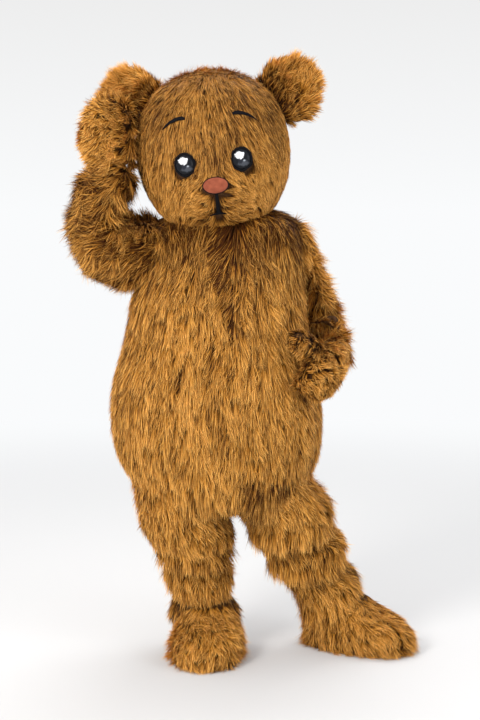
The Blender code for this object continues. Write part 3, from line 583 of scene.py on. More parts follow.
in_limbs = [tube_test(rows) for rows in
            (SLEEVE_RIGHT_ROWS, SLEEVE_LEFT_ROWS, LEG_RIGHT_ROWS, LEG_LEFT_ROWS)]


def clear_of_limbs(points):
    """True where the torso's backing isn't covered by a sleeve or a leg."""
    return ~np.any([test(points) for test in in_limbs], axis=0)


torso_outside = torso_skin(45, 72)
height = torso_outside[..., 2:] - FLOOR_Z
flank = (torso_outside[..., :1] < SEAM_X) * np.exp(-((height - 1.02) / 0.10) ** 2)
hip = np.exp(-((height - 0.56) / 0.09) ** 2)
torso_inside = torso_outside - outward(torso_outside) * (PILE_DEPTH + 0.014 * flank + 0.008 * hip)
height = torso_inside[..., 2] - FLOOR_Z
from_seam = torso_inside[..., 0] - SEAM_X
in_front = torso_inside[..., 1] < 0
parting = np.exp(-(from_seam / 0.05) ** 2) * in_front * np.clip((height - 0.95) / 0.30, 0.10, 1.0)
torso_comb = np.stack([np.sign(from_seam) * 0.80 * parting + 0.5 * from_seam,
                       0 * height, -1 + 0 * height], axis=-1)

# How light the torso's pile is: darker up the chest and at the neck, painted shade under the head; darker
# along the parting, in the crotch and in the crease over the left thigh, painted shade in these recesses; a
# little darker on the ruffled tuft of the chest.
torso_tone_with_painted_shade = (0.57 - 0.36 * np.clip((height - 1.15) / 0.18, 0, 1)
              - 0.20 * np.clip((height - 1.29) / 0.05, 0, 1))
torso_tone_with_painted_shade -= 0.34 * np.exp(-(from_seam / 0.011) ** 2) * in_front * np.clip((height - 0.95) / 0.2, 0, 1)
under_belly = np.clip((0.62 - height) / 0.10, 0, 1)
fringe = (np.clip((0.66 - height) / 0.08, 0, 1) * (1 - np.exp(-(from_seam / 0.08) ** 2))
          * (1 - np.abs(outward(torso_inside)[..., 0]) ** 2))
crotch = np.clip((0.57 - height) / 0.08, 0, 1) * np.exp(-(from_seam / 0.09) ** 2)
torso_tone_with_painted_shade -= 0.40 * crotch
hip_line = height - 0.602 + 0.14 * (torso_inside[..., 0] - 0.16)
torso_tone_with_painted_shade -= (0.60 * np.exp(-(hip_line / 0.026) ** 2) * in_front
               * np.clip((torso_inside[..., 0] - 0.03) / 0.05, 0, 1))
tuft = np.exp(-((from_seam - 0.012) / 0.035) ** 2 - ((height - 1.165) / 0.035) ** 2) * in_front
torso_tone_with_painted_shade -= 0.20 * tuft
torso_ruffle = 0.13 + 0.13 * np.clip((height - 1.0) / 0.2, 0, 1) + 0.60 * tuft
torso_panels = (
    # node, first column, last column, the cut's width and length, the cut's area
    ("torso_back_left", 0, 18, (0.42, 1.17), 0.355),
    ("torso_back_right", 18, 36, (0.50, 1.26), 0.423),
    ("torso_front_right", 36, 54, (0.50, 1.26), 0.428),
    ("torso_front_left", 54, 72, (0.42, 1.18), 0.360),
)
for index, (node, first, last, flat, area) in enumerate(torso_panels):
    locks = fur(node + "_pile", torso_inside, torso_comb, 36000, long_fur, 100 + index,
                tone=torso_tone_with_painted_shade, keep=clear_of_limbs, span=(first, last),
                length=0.076 + 0.018 * under_belly - 0.050 * crotch, clump=0.50,
                clump_size=(0.110, 0.0052), ruffle=torso_ruffle, stiff=0.40 + 0.5 * under_belly,
                hang=0.85 * fringe, flick=0.011)
    cloth_piece(node + "_cloth", torso_inside[:, first:last + 1], node, flat, area, "hung", [],
                "long_fur", backing, [locks])

# ---------------------------------------------------------------------------------------------
# Sleeves: one tube of the same fur fabric each, set into the armholes, the right one raised and
# bent so that its elbow hangs low, the left one bent forward at the waist.


def tube_skin(rows, first, last, rings_count, columns, inset, steady=1):
    """Rings through a table's sections: middle of the two edges + half of their line * cos +
    the half depth * sin, then drawn in by the pile. The depth stands at right angles to the
    tube's run, averaged over `steady` rings, so that a fold doesn't tip its rings over."""
    table = rows_at(rows, np.linspace(first, last, rings_count))
    edge_a, edge_b, half_depth = table[:, 0:3], table[:, 3:6], table[:, 6:7]
    centre = (edge_a + edge_b) / 2 + np.array([0.0, 0.0, FLOOR_Z])
    across = (edge_b - edge_a) / 2
    run = np.pad(np.gradient(centre, axis=0), ((steady // 2, steady // 2), (0, 0)), mode="edge")
    run = np.lib.stride_tricks.sliding_window_view(run, steady, axis=0).mean(axis=-1)
    depth = unit(np.cross(run, across)) * half_depth
    skin = rings(centre, across, depth, np.linspace(0, 2 * math.pi, columns + 1))
    return skin - outward(skin) * inset


def in_torso(points):
    """True where a point lies inside the torso's outline at its height."""
    table = np.array(TORSO_ROWS)
    height = points[:, 2] - FLOOR_Z
    right_x, left_x, front_y, back_y = (
        np.interp(height, table[:, 0], table[:, k]) for k in range(1, 5))
    aside = points[:, 0] - SEAM_X
    u = aside / np.where(aside > 0, left_x - SEAM_X, right_x - SEAM_X)
    v = (points[:, 1] - (front_y + back_y) / 2) / ((back_y - front_y) / 2)
    inside = np.abs(u) ** 2.2 + np.abs(v) ** 2.2 < 0.62
    return inside & (height > table[0, 0]) & (height < table[-1, 0])


def clear_of_torso(points):
    """True where a limb's backing isn't inside the torso."""
    return ~in_torso(points)


MITTEN_RIGHT_ROWS = (
    (-0.438, -0.118, 1.592, -0.273, -0.118, 1.590, 0.082),
    (-0.442, -0.126, 1.650, -0.276, -0.126, 1.652, 0.074),
    (-0.426, -0.130, 1.702, -0.288, -0.130, 1.704, 0.064),
    (-0.394, -0.130, 1.734, -0.310, -0.130, 1.735, 0.042),
    (-0.362, -0.130, 1.746, -0.340, -0.130, 1.746, 0.010),
)
MITTEN_LEFT_ROWS = (
    (0.350, -0.145, 0.906, 0.226, -0.225, 0.948, 0.056),
    (0.328, -0.176, 0.868, 0.206, -0.262, 0.906, 0.053),
    (0.304, -0.202, 0.842, 0.212, -0.270, 0.866, 0.042),
    (0.270, -0.226, 0.834, 0.246, -0.246, 0.840, 0.012),
)

sleeve_sizes = {"right": ((0.59, 0.58), 0.222), "left": ((0.45, 0.72), 0.175)}
sleeve_naps = {             # share along the arm, its own pull, tone, how locks clump, inset
    "right": (0.25, (-0.45, 0.0, -0.85), 0.26, 0.74, 0.034),
    "left": (0.80, (0.15, 0.0, -0.60), 0.57, 0.60, 0.031),
}
for side, sleeve_rows, mitten_rows in (("right", SLEEVE_RIGHT_ROWS, MITTEN_RIGHT_ROWS),
                                       ("left", SLEEVE_LEFT_ROWS, MITTEN_LEFT_ROWS)):
    arm_rows = sleeve_rows + mitten_rows
    skin = tube_skin(arm_rows, 0, len(sleeve_rows) - 1, 34, 36, sleeve_naps[side][4])
    comb = unit(np.gradient(skin, axis=0)) * sleeve_naps[side][0] + np.array(sleeve_naps[side][1])
    locks = fur("sleeve_" + side + "_pile", skin, comb, 30000, long_fur, 200 + len(side),
                length=0.060, ruffle=0.55, stiff=0.45, bend=0.7, flick=0.032, depth=0.016,
                clump=sleeve_naps[side][3], clump_size=(0.070, 0.0095),
                tone=sleeve_naps[side][2], keep=clear_of_torso)
    cloth_piece("sleeve_" + side + "_cloth", skin, "sleeve_" + side, *sleeve_sizes[side],
                "hung", [], "long_fur", backing, [locks])

# ---------------------------------------------------------------------------------------------
# Mittens: hand bags of fur fabric with a sewn-on thumb each, slipped over the cuffs. The right
# one is held up beside the ear, the left one rests on the belly.
THUMB_RIGHT_ROWS = (
    (-0.394, -0.088, 1.592, -0.334, -0.088, 1.594, 0.028),
    (-0.402, -0.040, 1.604, -0.340, -0.040, 1.606, 0.031),
    (-0.402, -0.008, 1.620, -0.346, -0.008, 1.621, 0.028),
    (-0.391, 0.011, 1.633, -0.357, 0.011, 1.633, 0.017),
    (-0.379, 0.017, 1.638, -0.369, 0.017, 1.638, 0.005),
)
THUMB_LEFT_ROWS = (
    (0.294, -0.192, 0.930, 0.276, -0.156, 0.966, 0.027),
    (0.254, -0.250, 0.966, 0.230, -0.206, 1.016, 0.034),
    (0.224, -0.274, 0.992, 0.200, -0.232, 1.038, 0.032),
    (0.205, -0.280, 1.010, 0.188, -0.251, 1.038, 0.020),
    (0.195, -0.274, 1.022, 0.190, -0.264, 1.030, 0.006),
)
bag_sets = (
    # node, rows, first row, locks, cut, its area, lock length, wall to the CAD skin, tone, pull
    ("mitten_right", SLEEVE_RIGHT_ROWS + MITTEN_RIGHT_ROWS, 9, 14000, (0.42, 0.23), 0.0705,
     0.046, 0.018, 0.56, (-0.60, 0.0, -0.55)),
    ("mitten_left", SLEEVE_LEFT_ROWS + MITTEN_LEFT_ROWS, 9, 10000, (0.33, 0.215), 0.0466,
     0.036, 0.018, 0.50, (0.10, -0.1, -0.70)),
    ("thumb_right", THUMB_RIGHT_ROWS, 0, 2500, (0.145, 0.125), 0.0138,
     0.030, 0.009, 0.30, (-0.3, 0.0, -0.4)),
    ("thumb_left", THUMB_LEFT_ROWS, 0, 3000, (0.17, 0.165), 0.0218,
     0.030, 0.009, 0.46, (0.0, 0.0, -0.4)),
)
for index, (node, rows, first, count, flat, area, length, inset, tone, pull) in enumerate(bag_sets):
    skin = tube_skin(rows, first, len(rows) - 1, 20, 28, inset)
    comb = unit(np.gradient(skin, axis=0)) * 0.35 + np.array(pull)
    shortened = np.linspace(1.0, 0.55, 20)[:, None] + np.zeros((20, 29))
    locks = fur(node + "_pile", skin, comb, count, long_fur, 300 + index, length=length * shortened,
                ruffle=0.75, stiff=0.50, bend=0.7, depth=0.012,
                flick=0.026 if "right" in node else 0.014, tone=tone,
                clump=0.70, clump_size=(0.055, 0.0080))
    cloth_piece(node + "_cloth", skin, node, flat, area, "gathered", [], "long_fur", backing, [locks],
                cap_end=True)

# ---------------------------------------------------------------------------------------------
# Legs: one wide tube each that stacks in folds above the boots. The right one hangs over itself
# below the knee and once more near its hem, the left one twice on its way out to the side.


def shows_below_torso(points):
    """True for roots outside the torso or so near its lower edge that their pile comes out."""
    return clear_of_torso(points - np.array([0.0, 0.0, 0.08]))


leg_folds = {"right": (6.0, 1.0), "left": (4.0, 7.0)}      # rows that hang over what is below
leg_insets = {"right": 0.022, "left": 0.008}               # how far their pile draws the folds in
leg_sizes = {"right": ((0.95, 0.60), 0.428), "left": ((0.84, 0.60), 0.369)}
for side, rows in (("right", LEG_RIGHT_ROWS), ("left", LEG_LEFT_ROWS)):
    place = np.linspace(0, len(rows) - 1, 48)[:, None]
    over = sum(np.exp(-((place - row - 0.35) / 0.50) ** 2) for row in leg_folds[side])
    hem = np.exp(-(place / 0.9) ** 2)
    # Under each fold the pile is made darker: painted shade beneath the overhang.
    below = sum(np.exp(-((place - row + 0.6) / 0.45) ** 2) for row in leg_folds[side])
    inset = 0.016 + leg_insets[side] * over - 0.010 * hem
    skin = tube_skin(rows, 0, len(rows) - 1, 48, 44, inset[..., None], 13)
    comb = -unit(np.gradient(skin, axis=0)) + np.array([0.0, 0.0, -0.6])
    locks = fur("leg_" + side + "_pile", skin, comb, 36000, long_fur, 400 + len(side),
                length=0.060 + 0.014 * hem + 0.016 * over + np.zeros((1, 45)), ruffle=0.20,
                stiff=0.42, bend=0.35, clump=0.52, clump_size=(0.085, 0.0054), flick=0.018,
                tone=0.62 - 0.50 * below + np.zeros((1, 45)),
                hang=0.75 * over + 0.55 * hem + np.zeros((1, 45)), keep=shows_below_torso)
    cloth_piece("leg_" + side + "_cloth", skin, "leg_" + side, *leg_sizes[side], "gathered",
                [], "long_fur", backing, [locks])

# ---------------------------------------------------------------------------------------------
# Boot covers: fur uppers over the wearer's shoes, sewn to flat rubber soles. Their pile falls
# forwards over the toe and fans out on the floor.
BOOT_ROWS = (
    # height, half_width, toe, heel
    (0.0123, 0.100, 0.252, 0.102),
    (0.040, 0.109, 0.266, 0.108),
    (0.078, 0.108, 0.254, 0.106),
    (0.110, 0.102, 0.216, 0.102),
    (0.136, 0.092, 0.166, 0.096),
    (0.158, 0.084, 0.124, 0.090),
    (0.180, 0.080, 0.096, 0.086),
)
boots = {"right": (-0.064, 0.030, math.radians(-2.0)), "left": (0.350, 0.088, math.radians(59.0))}
# The right boot's pile is set lighter than the left's: painted light.
boot_tones_with_painted_light = {"right": 0.76, "left": 0.63}


def boot_skin(place, rings_count, columns, inset):
    """Level ovals round the ankle's axis, turned to where the toe points, drawn in by the pile."""
    ankle_x, ankle_y, turn = place
    place_in_rows = np.linspace(0, len(BOOT_ROWS) - 1, rings_count)
    height, half_width, toe, heel = rows_at(BOOT_ROWS, place_in_rows).T
    zero = 0 * height
    skin = rings(np.stack([zero, (heel - toe) / 2, height], axis=1),
                 np.stack([half_width, zero, zero], axis=1),
                 np.stack([zero, (heel + toe) / 2, zero], axis=1),
                 np.linspace(0, 2 * math.pi, columns + 1), 2.4)
    skin = skin - outward(skin) * inset
    c, s = math.cos(turn), math.sin(turn)
    x, y, z = skin[..., 0], skin[..., 1], skin[..., 2]
    return np.stack([x * c - y * s + ankle_x, x * s + y * c + ankle_y, z + FLOOR_Z], axis=-1)


for side, place in boots.items():
    low = np.linspace(1, 0, 20)[:, None] ** 2 + np.zeros((20, 45))
    skin = boot_skin(place, 20, 44, (0.022 - 0.012 * low)[..., None])
    toe_way = np.array([math.sin(place[2]), -math.cos(place[2]), 0.0])
    from_ankle = skin - np.array([place[0], place[1], 0.0])
    comb = unit(from_ankle * np.array([1.0, 1.0, 0.0])) + np.array([0.0, 0.0, -1.4]) + 0.5 * toe_way
    locks = fur("boot_" + side + "_pile", skin, comb, 17000, long_fur, 500 + len(side),
                length=0.050 + 0.010 * low, ruffle=0.26, stiff=0.50, bend=0.4, depth=0.011,
                flick=0.010 + 0.026 * low, tone=boot_tones_with_painted_light[side])
    cloth_piece("boot_" + side + "_cloth", skin, "boot_" + side, (0.90, 0.25), 0.127, "stretched",
                ["sole_" + side], "long_fur", backing, [locks])

# ---------------------------------------------------------------------------------------------
# Soles and the closed back zip keep their solids; the soles are grained dark rubber, the zip is
# woven tape with teeth.
sole_rubber = speckled("sole_rubber", 0.8, 0.3, 90.0,
                       ((0.3, (0.022, 0.016, 0.012)), (0.7, (0.050, 0.036, 0.028))))[0]
zip_tape, nodes, links, shader = new_material("zip_tape", 0.7, 0.3)
place = nodes.new("ShaderNodeTexCoord")
teeth = nodes.new("ShaderNodeTexWave")
teeth.bands_direction = "Z"
teeth.inputs["Scale"].default_value = 120.0
links.new(place.outputs["Object"], teeth.inputs["Vector"])
shades = colour_ramp(nodes, ((0.3, (0.05, 0.025, 0.012)), (0.7, (0.16, 0.085, 0.035))))
links.new(teeth.outputs["Fac"], shades.inputs["Fac"])
links.new(shades.outputs["Color"], shader.inputs["Base Color"])
for node, material in (("sole_left", sole_rubber), ("sole_right", sole_rubber), ("back_zip", zip_tape)):
    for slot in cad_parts[node].material_slots:
        slot.material = material

# ---------------------------------------------------------------------------------------------
# Head: a padded shell covered in the same fur, clipped short, a face half and a back half sewn
# from ear to ear, open at the neck. The pile fans down from the crown and round the eyes, and
# out from the nose over the muzzle.
HEAD_CENTRE = (-0.046, -0.040, 1.586)
HEAD_ROLL = math.radians(6.0)
MUZZLE_REACH = 0.036
MUZZLE_HEIGHT = -0.135
MUZZLE_SPREAD = (0.085, 0.075)
FACE_PILE = 0.008
HEAD_ROWS = (
    # up, half_width, front, back
    (-0.234, 0.098, 0.092, 0.096),
    (-0.222, 0.132, 0.118, 0.122),
    (-0.190, 0.172, 0.152, 0.158),
    (-0.140, 0.204, 0.184, 0.188),
    (-0.080, 0.225, 0.204, 0.208),
    (-0.010, 0.234, 0.214, 0.218),
    (0.060, 0.229, 0.210, 0.214),
    (0.120, 0.208, 0.194, 0.198),
    (0.170, 0.172, 0.164, 0.168),
    (0.210, 0.122, 0.118, 0.122),
    (0.232, 0.066, 0.066, 0.068),
    (0.240, 0.0015, 0.0015, 0.0015),
)


def head_to_part(points):
    """The head's own side, depth and height, rolled sideways and set at the head's centre."""
    c, s = math.cos(HEAD_ROLL), math.sin(HEAD_ROLL)
    x, y, z = points[..., 0], points[..., 1], points[..., 2]
    turned = np.stack([x * c - z * s, y, x * s + z * c], axis=-1)
    return turned + np.array(HEAD_CENTRE) + np.array([0.0, 0.0, FLOOR_Z])


def with_muzzle(points):
    """The front swelled forwards by a bell curve in width and height."""
    aside = points[..., 0] / MUZZLE_SPREAD[0]
    above = (points[..., 2] - MUZZLE_HEIGHT) / MUZZLE_SPREAD[1]
    swell = MUZZLE_REACH * np.exp(-aside ** 2 - above ** 2)
    swell = np.where(points[..., 1] < 0, swell, 0)
    return points - swell[..., None] * np.array([0.0, 1.0, 0.0])


def head_skin(rings_count, columns):
    """Rings of the head in its own frame, neck to crown, with the muzzle."""
    place = np.linspace(0, len(HEAD_ROWS) - 1, rings_count)
    up, half_width, front, back = rows_at(HEAD_ROWS, place).T
    zero = 0 * up
    skin = rings(np.stack([zero, (back - front) / 2, up], axis=1),
                 np.stack([half_width, zero, zero], axis=1),
                 np.stack([zero, (front + back) / 2, zero], axis=1),
                 np.linspace(0, 2 * math.pi, columns + 1))
    return with_muzzle(skin)


def face_y(side, up):
    """How far forward the face lies at a place sideways and up from the head's centre."""
    place = np.linspace(0, len(HEAD_ROWS) - 1, 200)
    table = rows_at(HEAD_ROWS, place)
    half_width, front, back = (np.interp(up, table[:, 0], table[:, k]) for k in (1, 2, 3))
    share = np.minimum(np.abs(side) / half_width, 1) ** 2.2
    y = (back - front) / 2 - (front + back) / 2 * (1 - share) ** (1 / 2.2)
    return with_muzzle(np.stack([side + 0 * y, y, up + 0 * y], axis=-1))[..., 1]


# The root end of the ramp is near black: partly a darker root colour, partly painted shade deep in the
# pile.
clipped_fur = fur_material(
    "clipped_fur",
    ((0.0, (0.008, 0.003, 0.0005)), (0.25, (0.085, 0.030, 0.004)), (0.55, (0.39, 0.160, 0.025)),
     (0.85, (0.62, 0.300, 0.065)), (1.0, (0.88, 0.460, 0.125))),
    (0.10, 0.058, 0.022), (1.40, 1.50, 1.60))
head_local = head_skin(41, 72)
head_local = head_local - outward(head_local) * FACE_PILE
side, up = head_local[..., 0], head_local[..., 2]
front = head_local[..., 1] < 0
nose_share = np.exp(-((side / 0.085) ** 2 + ((up + 0.135) / 0.070) ** 2)) * front
beside = np.clip(side / 0.02, -1, 1)
crown = np.clip((up - 0.205) / 0.03, 0, 1)
head_comb = np.stack([4.0 * side + 1.7 * nose_share * beside, -0.12 - 2.5 * crown,
                      -1 + 0.35 * nose_share], axis=-1)
c, s = math.cos(HEAD_ROLL), math.sin(HEAD_ROLL)
head_comb = np.stack([head_comb[..., 0] * c - head_comb[..., 2] * s, head_comb[..., 1],
                      head_comb[..., 0] * s + head_comb[..., 2] * c], axis=-1)
head_inside = head_to_part(head_local)
under_eye = np.exp(-((np.abs(side) - 0.083) / 0.030) ** 2 - ((up + 0.082) / 0.016) ** 2) * front
head_length = (0.052 + 0.006 * np.clip((-0.12 - up) / 0.1, 0, 1) - 0.024 * nose_share
               - 0.036 * under_eye)
cheek = np.exp(-((np.abs(side) - 0.17) / 0.07) ** 2 - ((up + 0.05) / 0.11) ** 2) * front
chin = np.exp(-(side / 0.035) ** 2 - ((up + 0.214) / 0.014) ** 2) * front

# How light the head's pile is: dark on the forehead, lighter towards the crown and the cheeks, lightest on
# the muzzle and the chin, and dark again under the jaw, which is painted shade. The +X cheek and the face's
# +X side are lightened more than the -X side: painted light.
head_tone_with_painted_light_and_shade = (0.30 + 0.20 * np.clip((up - 0.13) / 0.08, 0, 1) + 0.20 * np.clip(-up / 0.12, 0, 1)
             + np.where(side > 0, 0.34, 0.12) * cheek + 0.20 * under_eye
             + 0.52 * nose_share + 0.44 * chin - 0.22 * np.clip((-0.19 - up) / 0.04, 0, 1)
             + 0.22 * np.clip((side - 0.17) / 0.05, 0, 1) * front + 0.30 * crown)
head_flick = 0.004 + 0.014 * np.clip((up - 0.17) / 0.06, 0, 1)

# Places on the face, sideways and up from the head's centre, that the pile is clipped away from.
EYE_PLACE = (0.083, -0.044)
EYE_SIZE = (0.0320, 0.0350, 0.017)     # half width, half height, half depth, rim included
NOSE_PLACE = (0.0, -0.113)
NOSE_SIZE = (0.037, 0.0235, 0.010)
BROW_ROWS = (
    # sideways, up, half_height
    (0.070, 0.090, 0.0040),
    (0.084, 0.0925, 0.0060),
    (0.104, 0.0885, 0.0050),
    (0.124, 0.0790, 0.0035),
    (0.140, 0.0660, 0.0012),
)
MOUTH_SEAM_ROWS = (
    # sideways, up, half_width
    (0.0, -0.1375, 0.0045),
    (0.0, -0.156, 0.0050),
    (0.0, -0.174, 0.0055),
    (0.0, -0.196, 0.0060),
)
MOUTH_LINE_ROWS = (
    # sideways, up, half_height
    (-0.026, -0.1995, 0.0012),
    (-0.013, -0.1960, 0.0026),
    (0.0, -0.1950, 0.0032),
    (0.013, -0.1960, 0.0026),
    (0.026, -0.1995, 0.0012),
)


def head_own(points):
    """Points of the part in the head's own side, depth and height: head_to_part undone."""
    x, y, z = np.moveaxis(points - np.array(HEAD_CENTRE) - np.array([0.0, 0.0, FLOOR_Z]), -1, 0)
    c, s = math.cos(HEAD_ROLL), math.sin(HEAD_ROLL)
    return np.stack([x * c + z * s, y, z * c - x * s], axis=-1)


def from_line(flat, rows):
    """How far flat points lie from a table's line, less the line's half width."""
    table = rows_at(rows, np.linspace(0, len(rows) - 1, 12))
    near = np.linalg.norm(flat[:, None] - table[None, :, :2], axis=-1) - table[None, :, 2]
    return near.min(axis=1)


def clear_of_face_pieces(points):
    """True where a point of the pile isn't over an eye, the nose, a brow or the mouth."""
    own = head_own(points)
    flat = own[:, [0, 2]]
    apart = np.stack([np.abs(flat[:, 0]), flat[:, 1]], axis=1)
    over_eye = (((apart - np.array(EYE_PLACE)) / (np.array(EYE_SIZE[:2]) - 0.002)) ** 2).sum(axis=1) < 1
    over_nose = (((flat - np.array(NOSE_PLACE)) / (np.array(NOSE_SIZE[:2]) - 0.001)) ** 2).sum(axis=1) < 1
    over_felt = ((from_line(apart, BROW_ROWS) < -0.0012) | (from_line(flat, MOUTH_SEAM_ROWS) < -0.0012)
                 | (from_line(flat, MOUTH_LINE_ROWS) < -0.0008))
    return ~((over_eye | over_nose | over_felt) & (own[:, 1] < 0))


head_areas = {"head_back": 0.322, "head_face": 0.327}
for index, (node, first, last) in enumerate((("head_back", 0, 36), ("head_face", 36, 72))):
    locks = fur(node + "_pile", head_inside, head_comb, 44000, clipped_fur, 600 + index,
                length=head_length, width=0.0018, depth=FACE_PILE, ruffle=0.13, clump=0.40, bend=0.18,
                clump_size=(0.100, 0.0040), stiff=0.12, flick=head_flick, span=(first, last),
                tone=head_tone_with_painted_light_and_shade, clear=clear_of_face_pieces if node == "head_face" else None)
    cloth_piece(node + "_cloth", head_inside[:, first:last + 1], node, (0.70, 0.65), head_areas[node],
                "stretched", [], "clipped_fur", backing, [locks])

# ---------------------------------------------------------------------------------------------
# Eyes: hard glossy domes printed dark, with a painted highlight and a painted reflection on the print, each
# set in an uneven ring of black felt glued to the face.


def cushion_skin(place, size, profile, rings_count, columns, uneven=0.0, seed=0):
    """A round piece seen from the front: each ring is the oval times its share of the radius,
    wavered by `uneven`, and stands in front of the face by its share of the half depth."""
    share, depth = rows_at(profile, np.linspace(0, len(profile) - 1, rings_count)).T
    turns = np.linspace(0, 2 * math.pi, columns + 1)
    round_ring = np.stack([np.cos(turns), 0 * turns, np.sin(turns)], axis=-1)
    reach = 1 + uneven * waver(round_ring, 1.3, seed)
    x = place[0] - size[0] * share[:, None] * np.cos(turns) * reach
    z = place[1] + size[1] * share[:, None] * np.sin(turns) * reach
    y = face_y(np.array([place[0]]), np.array([place[1]])) - size[2] * depth[:, None] + 0 * x
    return head_to_part(np.stack([x, y, z], axis=-1))


def closed_piece(name, skin, material, uv_place=None, uv_size=None):
    """A solid from a skin's rings with both ends closed; the map is its front view if asked."""
    rings_count, columns = skin.shape[0], skin.shape[1] - 1
    points = skin[:, :-1].reshape(-1, 3)
    faces = np.vstack([grid_faces(rings_count, columns, True), cap_faces(columns, 0)[:, ::-1],
                       cap_faces(columns, (rings_count - 1) * columns)])
    uv = None
    if uv_place is not None:
        own = head_own(points)
        flat = (own[:, [0, 2]] - np.array(uv_place)) / np.array(uv_size)
        uv = (0.5 + 0.48 * np.clip(flat, -1, 1))[faces].reshape(-1, 2)
    return mesh_piece(name, points, faces, material, uv)


def spot(nodes, links, map_out, noise_out, middle, radius, soft):
    """1 inside an uneven oval on the map and 0 outside it, over a soft edge."""
    shifted = nodes.new("ShaderNodeVectorMath")
    shifted.operation = "SUBTRACT"
    shifted.inputs[1].default_value = (*middle, 0.0)
    links.new(map_out, shifted.inputs[0])
    scaled = nodes.new("ShaderNodeVectorMath")
    scaled.operation = "MULTIPLY"
    scaled.inputs[1].default_value = (1 / radius[0], 1 / radius[1], 0.0)
    links.new(shifted.outputs["Vector"], scaled.inputs[0])
    reach = nodes.new("ShaderNodeVectorMath")
    reach.operation = "LENGTH"
    links.new(scaled.outputs["Vector"], reach.inputs[0])
    torn = nodes.new("ShaderNodeMath")
    torn.operation = "ADD"
    links.new(reach.outputs["Value"], torn.inputs[0])
    links.new(noise_out, torn.inputs[1])
    edge = nodes.new("ShaderNodeMapRange")
    edge.inputs["From Min"].default_value = 1.5 + soft
    edge.inputs["From Max"].default_value = 1.5 - soft
    links.new(torn.outputs["Value"], edge.inputs["Value"])
    return edge.outputs["Result"]


eye_gloss, nodes, links, shader = new_material("eye_gloss", 0.16, 0.08)
shader.inputs["Coat Weight"].default_value = 0.03
shader.inputs["Coat Roughness"].default_value = 0.03
own_map = nodes.new("ShaderNodeUVMap")
own_map.uv_map = "OFBake"
torn_edge = nodes.new("ShaderNodeTexNoise")
torn_edge.noise_dimensions = "2D"
torn_edge.inputs["Scale"].default_value = 9.0
torn_edge.inputs["Detail"].default_value = 3.0
links.new(own_map.outputs["UV"], torn_edge.inputs["Vector"])
print_with_painted_highlights_and_reflection = None
# Spots over the dark print: the grey crescent low on the right is a painted reflection, and the three pale
# spots are painted highlights.
for middle, radius, soft, colour in (
    ((0.50, 0.50), (0.46, 0.46), 0.10, (0.010, 0.011, 0.014)),
    ((0.58, 0.30), (0.25, 0.12), 0.30, (0.060, 0.065, 0.078)),
    ((0.44, 0.42), (0.10, 0.14), 0.25, (0.020, 0.022, 0.030)),
    ((0.64, 0.42), (0.05, 0.04), 0.30, (0.28, 0.30, 0.34)),
    ((0.43, 0.67), (0.20, 0.17), 0.16, (0.90, 0.91, 0.94)),
    ((0.62, 0.74), (0.05, 0.05), 0.25, (0.75, 0.77, 0.82)),
):
    shape = spot(nodes, links, own_map.outputs["UV"], torn_edge.outputs["Fac"], middle, radius, soft)
    layer = nodes.new("ShaderNodeMix")
    layer.data_type = "RGBA"
    layer.inputs["A"].default_value = (0.006, 0.006, 0.008, 1.0)
    layer.inputs["B"].default_value = (*colour, 1.0)
    links.new(shape, layer.inputs["Factor"])
    if print_with_painted_highlights_and_reflection is not None:
        links.new(print_with_painted_highlights_and_reflection, layer.inputs["A"])
    print_with_painted_highlights_and_reflection = layer.outputs["Result"]
links.new(print_with_painted_highlights_and_reflection, shader.inputs["Base Color"])

black_felt, fibres = speckled("black_felt", 0.90, 0.08, 700.0,
                              ((0.3, (0.002, 0.002, 0.003)), (0.75, (0.012, 0.011, 0.012))), 4.0)
roughen(black_felt, fibres, 0.0008)

EYE_RIM = ((0.80, -1.0), (0.99, -0.6), (1.03, 0.20), (1.00, 0.42), (0.92, 0.52), (0.84, 0.42), (0.78, 0.10))
EYE_DOME = ((0.70, -0.9), (0.84, -0.4), (0.87, 0.20), (0.845, 0.42), (0.76, 0.66), (0.60, 0.84),
            (0.40, 0.95), (0.20, 0.99), (0.02, 1.0))
for index, (side_name, sign) in enumerate((("right", -1), ("left", 1))):
    place = (EYE_PLACE[0] * sign, EYE_PLACE[1])
    dome = closed_piece("eye_" + side_name + "_dome", cushion_skin(place, EYE_SIZE, EYE_DOME, 30, 56),
                        eye_gloss, place, (EYE_SIZE[0] * 0.88, EYE_SIZE[1] * 0.88))
    rim = closed_piece("eye_" + side_name + "_rim",
                       cushion_skin(place, EYE_SIZE, EYE_RIM, 16, 64, 0.045, 40 + index), black_felt)
    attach(dome, "root")
    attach(rim, "root")
    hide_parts("eye_" + side_name)

# ---------------------------------------------------------------------------------------------
# Nose: a flat padded oval of terracotta cloth with a dark cord sewn round its edge.
nose_cloth, blotch = speckled("nose_cloth", 0.82, 0.25, 60.0,
                              ((0.25, (0.19, 0.040, 0.018)), (0.75, (0.34, 0.088, 0.042))), 5.0)
nodes, links = nose_cloth.node_tree.nodes, nose_cloth.node_tree.links
nodes["Principled BSDF"].inputs["Sheen Weight"].default_value = 0.04
weave = nodes.new("ShaderNodeTexNoise")
weave.inputs["Scale"].default_value = 900.0
links.new(blotch.inputs["Vector"].links[0].from_socket, weave.inputs["Vector"])
roughen(nose_cloth, weave, 0.0006)
NOSE_PAD = ((0.80, -1.0), (0.96, -0.4), (1.0, 0.20), (0.97, 0.50), (0.86, 0.74), (0.66, 0.90), (0.36, 0.98),
            (0.02, 1.0))
NOSE_CORD = ((1.00, -0.4), (1.05, -0.1), (1.07, 0.25), (1.04, 0.52), (0.985, 0.50), (0.96, 0.10))
pad = closed_piece("nose_pad", cushion_skin(NOSE_PLACE, NOSE_SIZE, NOSE_PAD, 24, 56), nose_cloth)
cord = closed_piece("nose_edge", cushion_skin(NOSE_PLACE, NOSE_SIZE, NOSE_CORD, 12, 56, 0.01, 50),
                    black_felt)
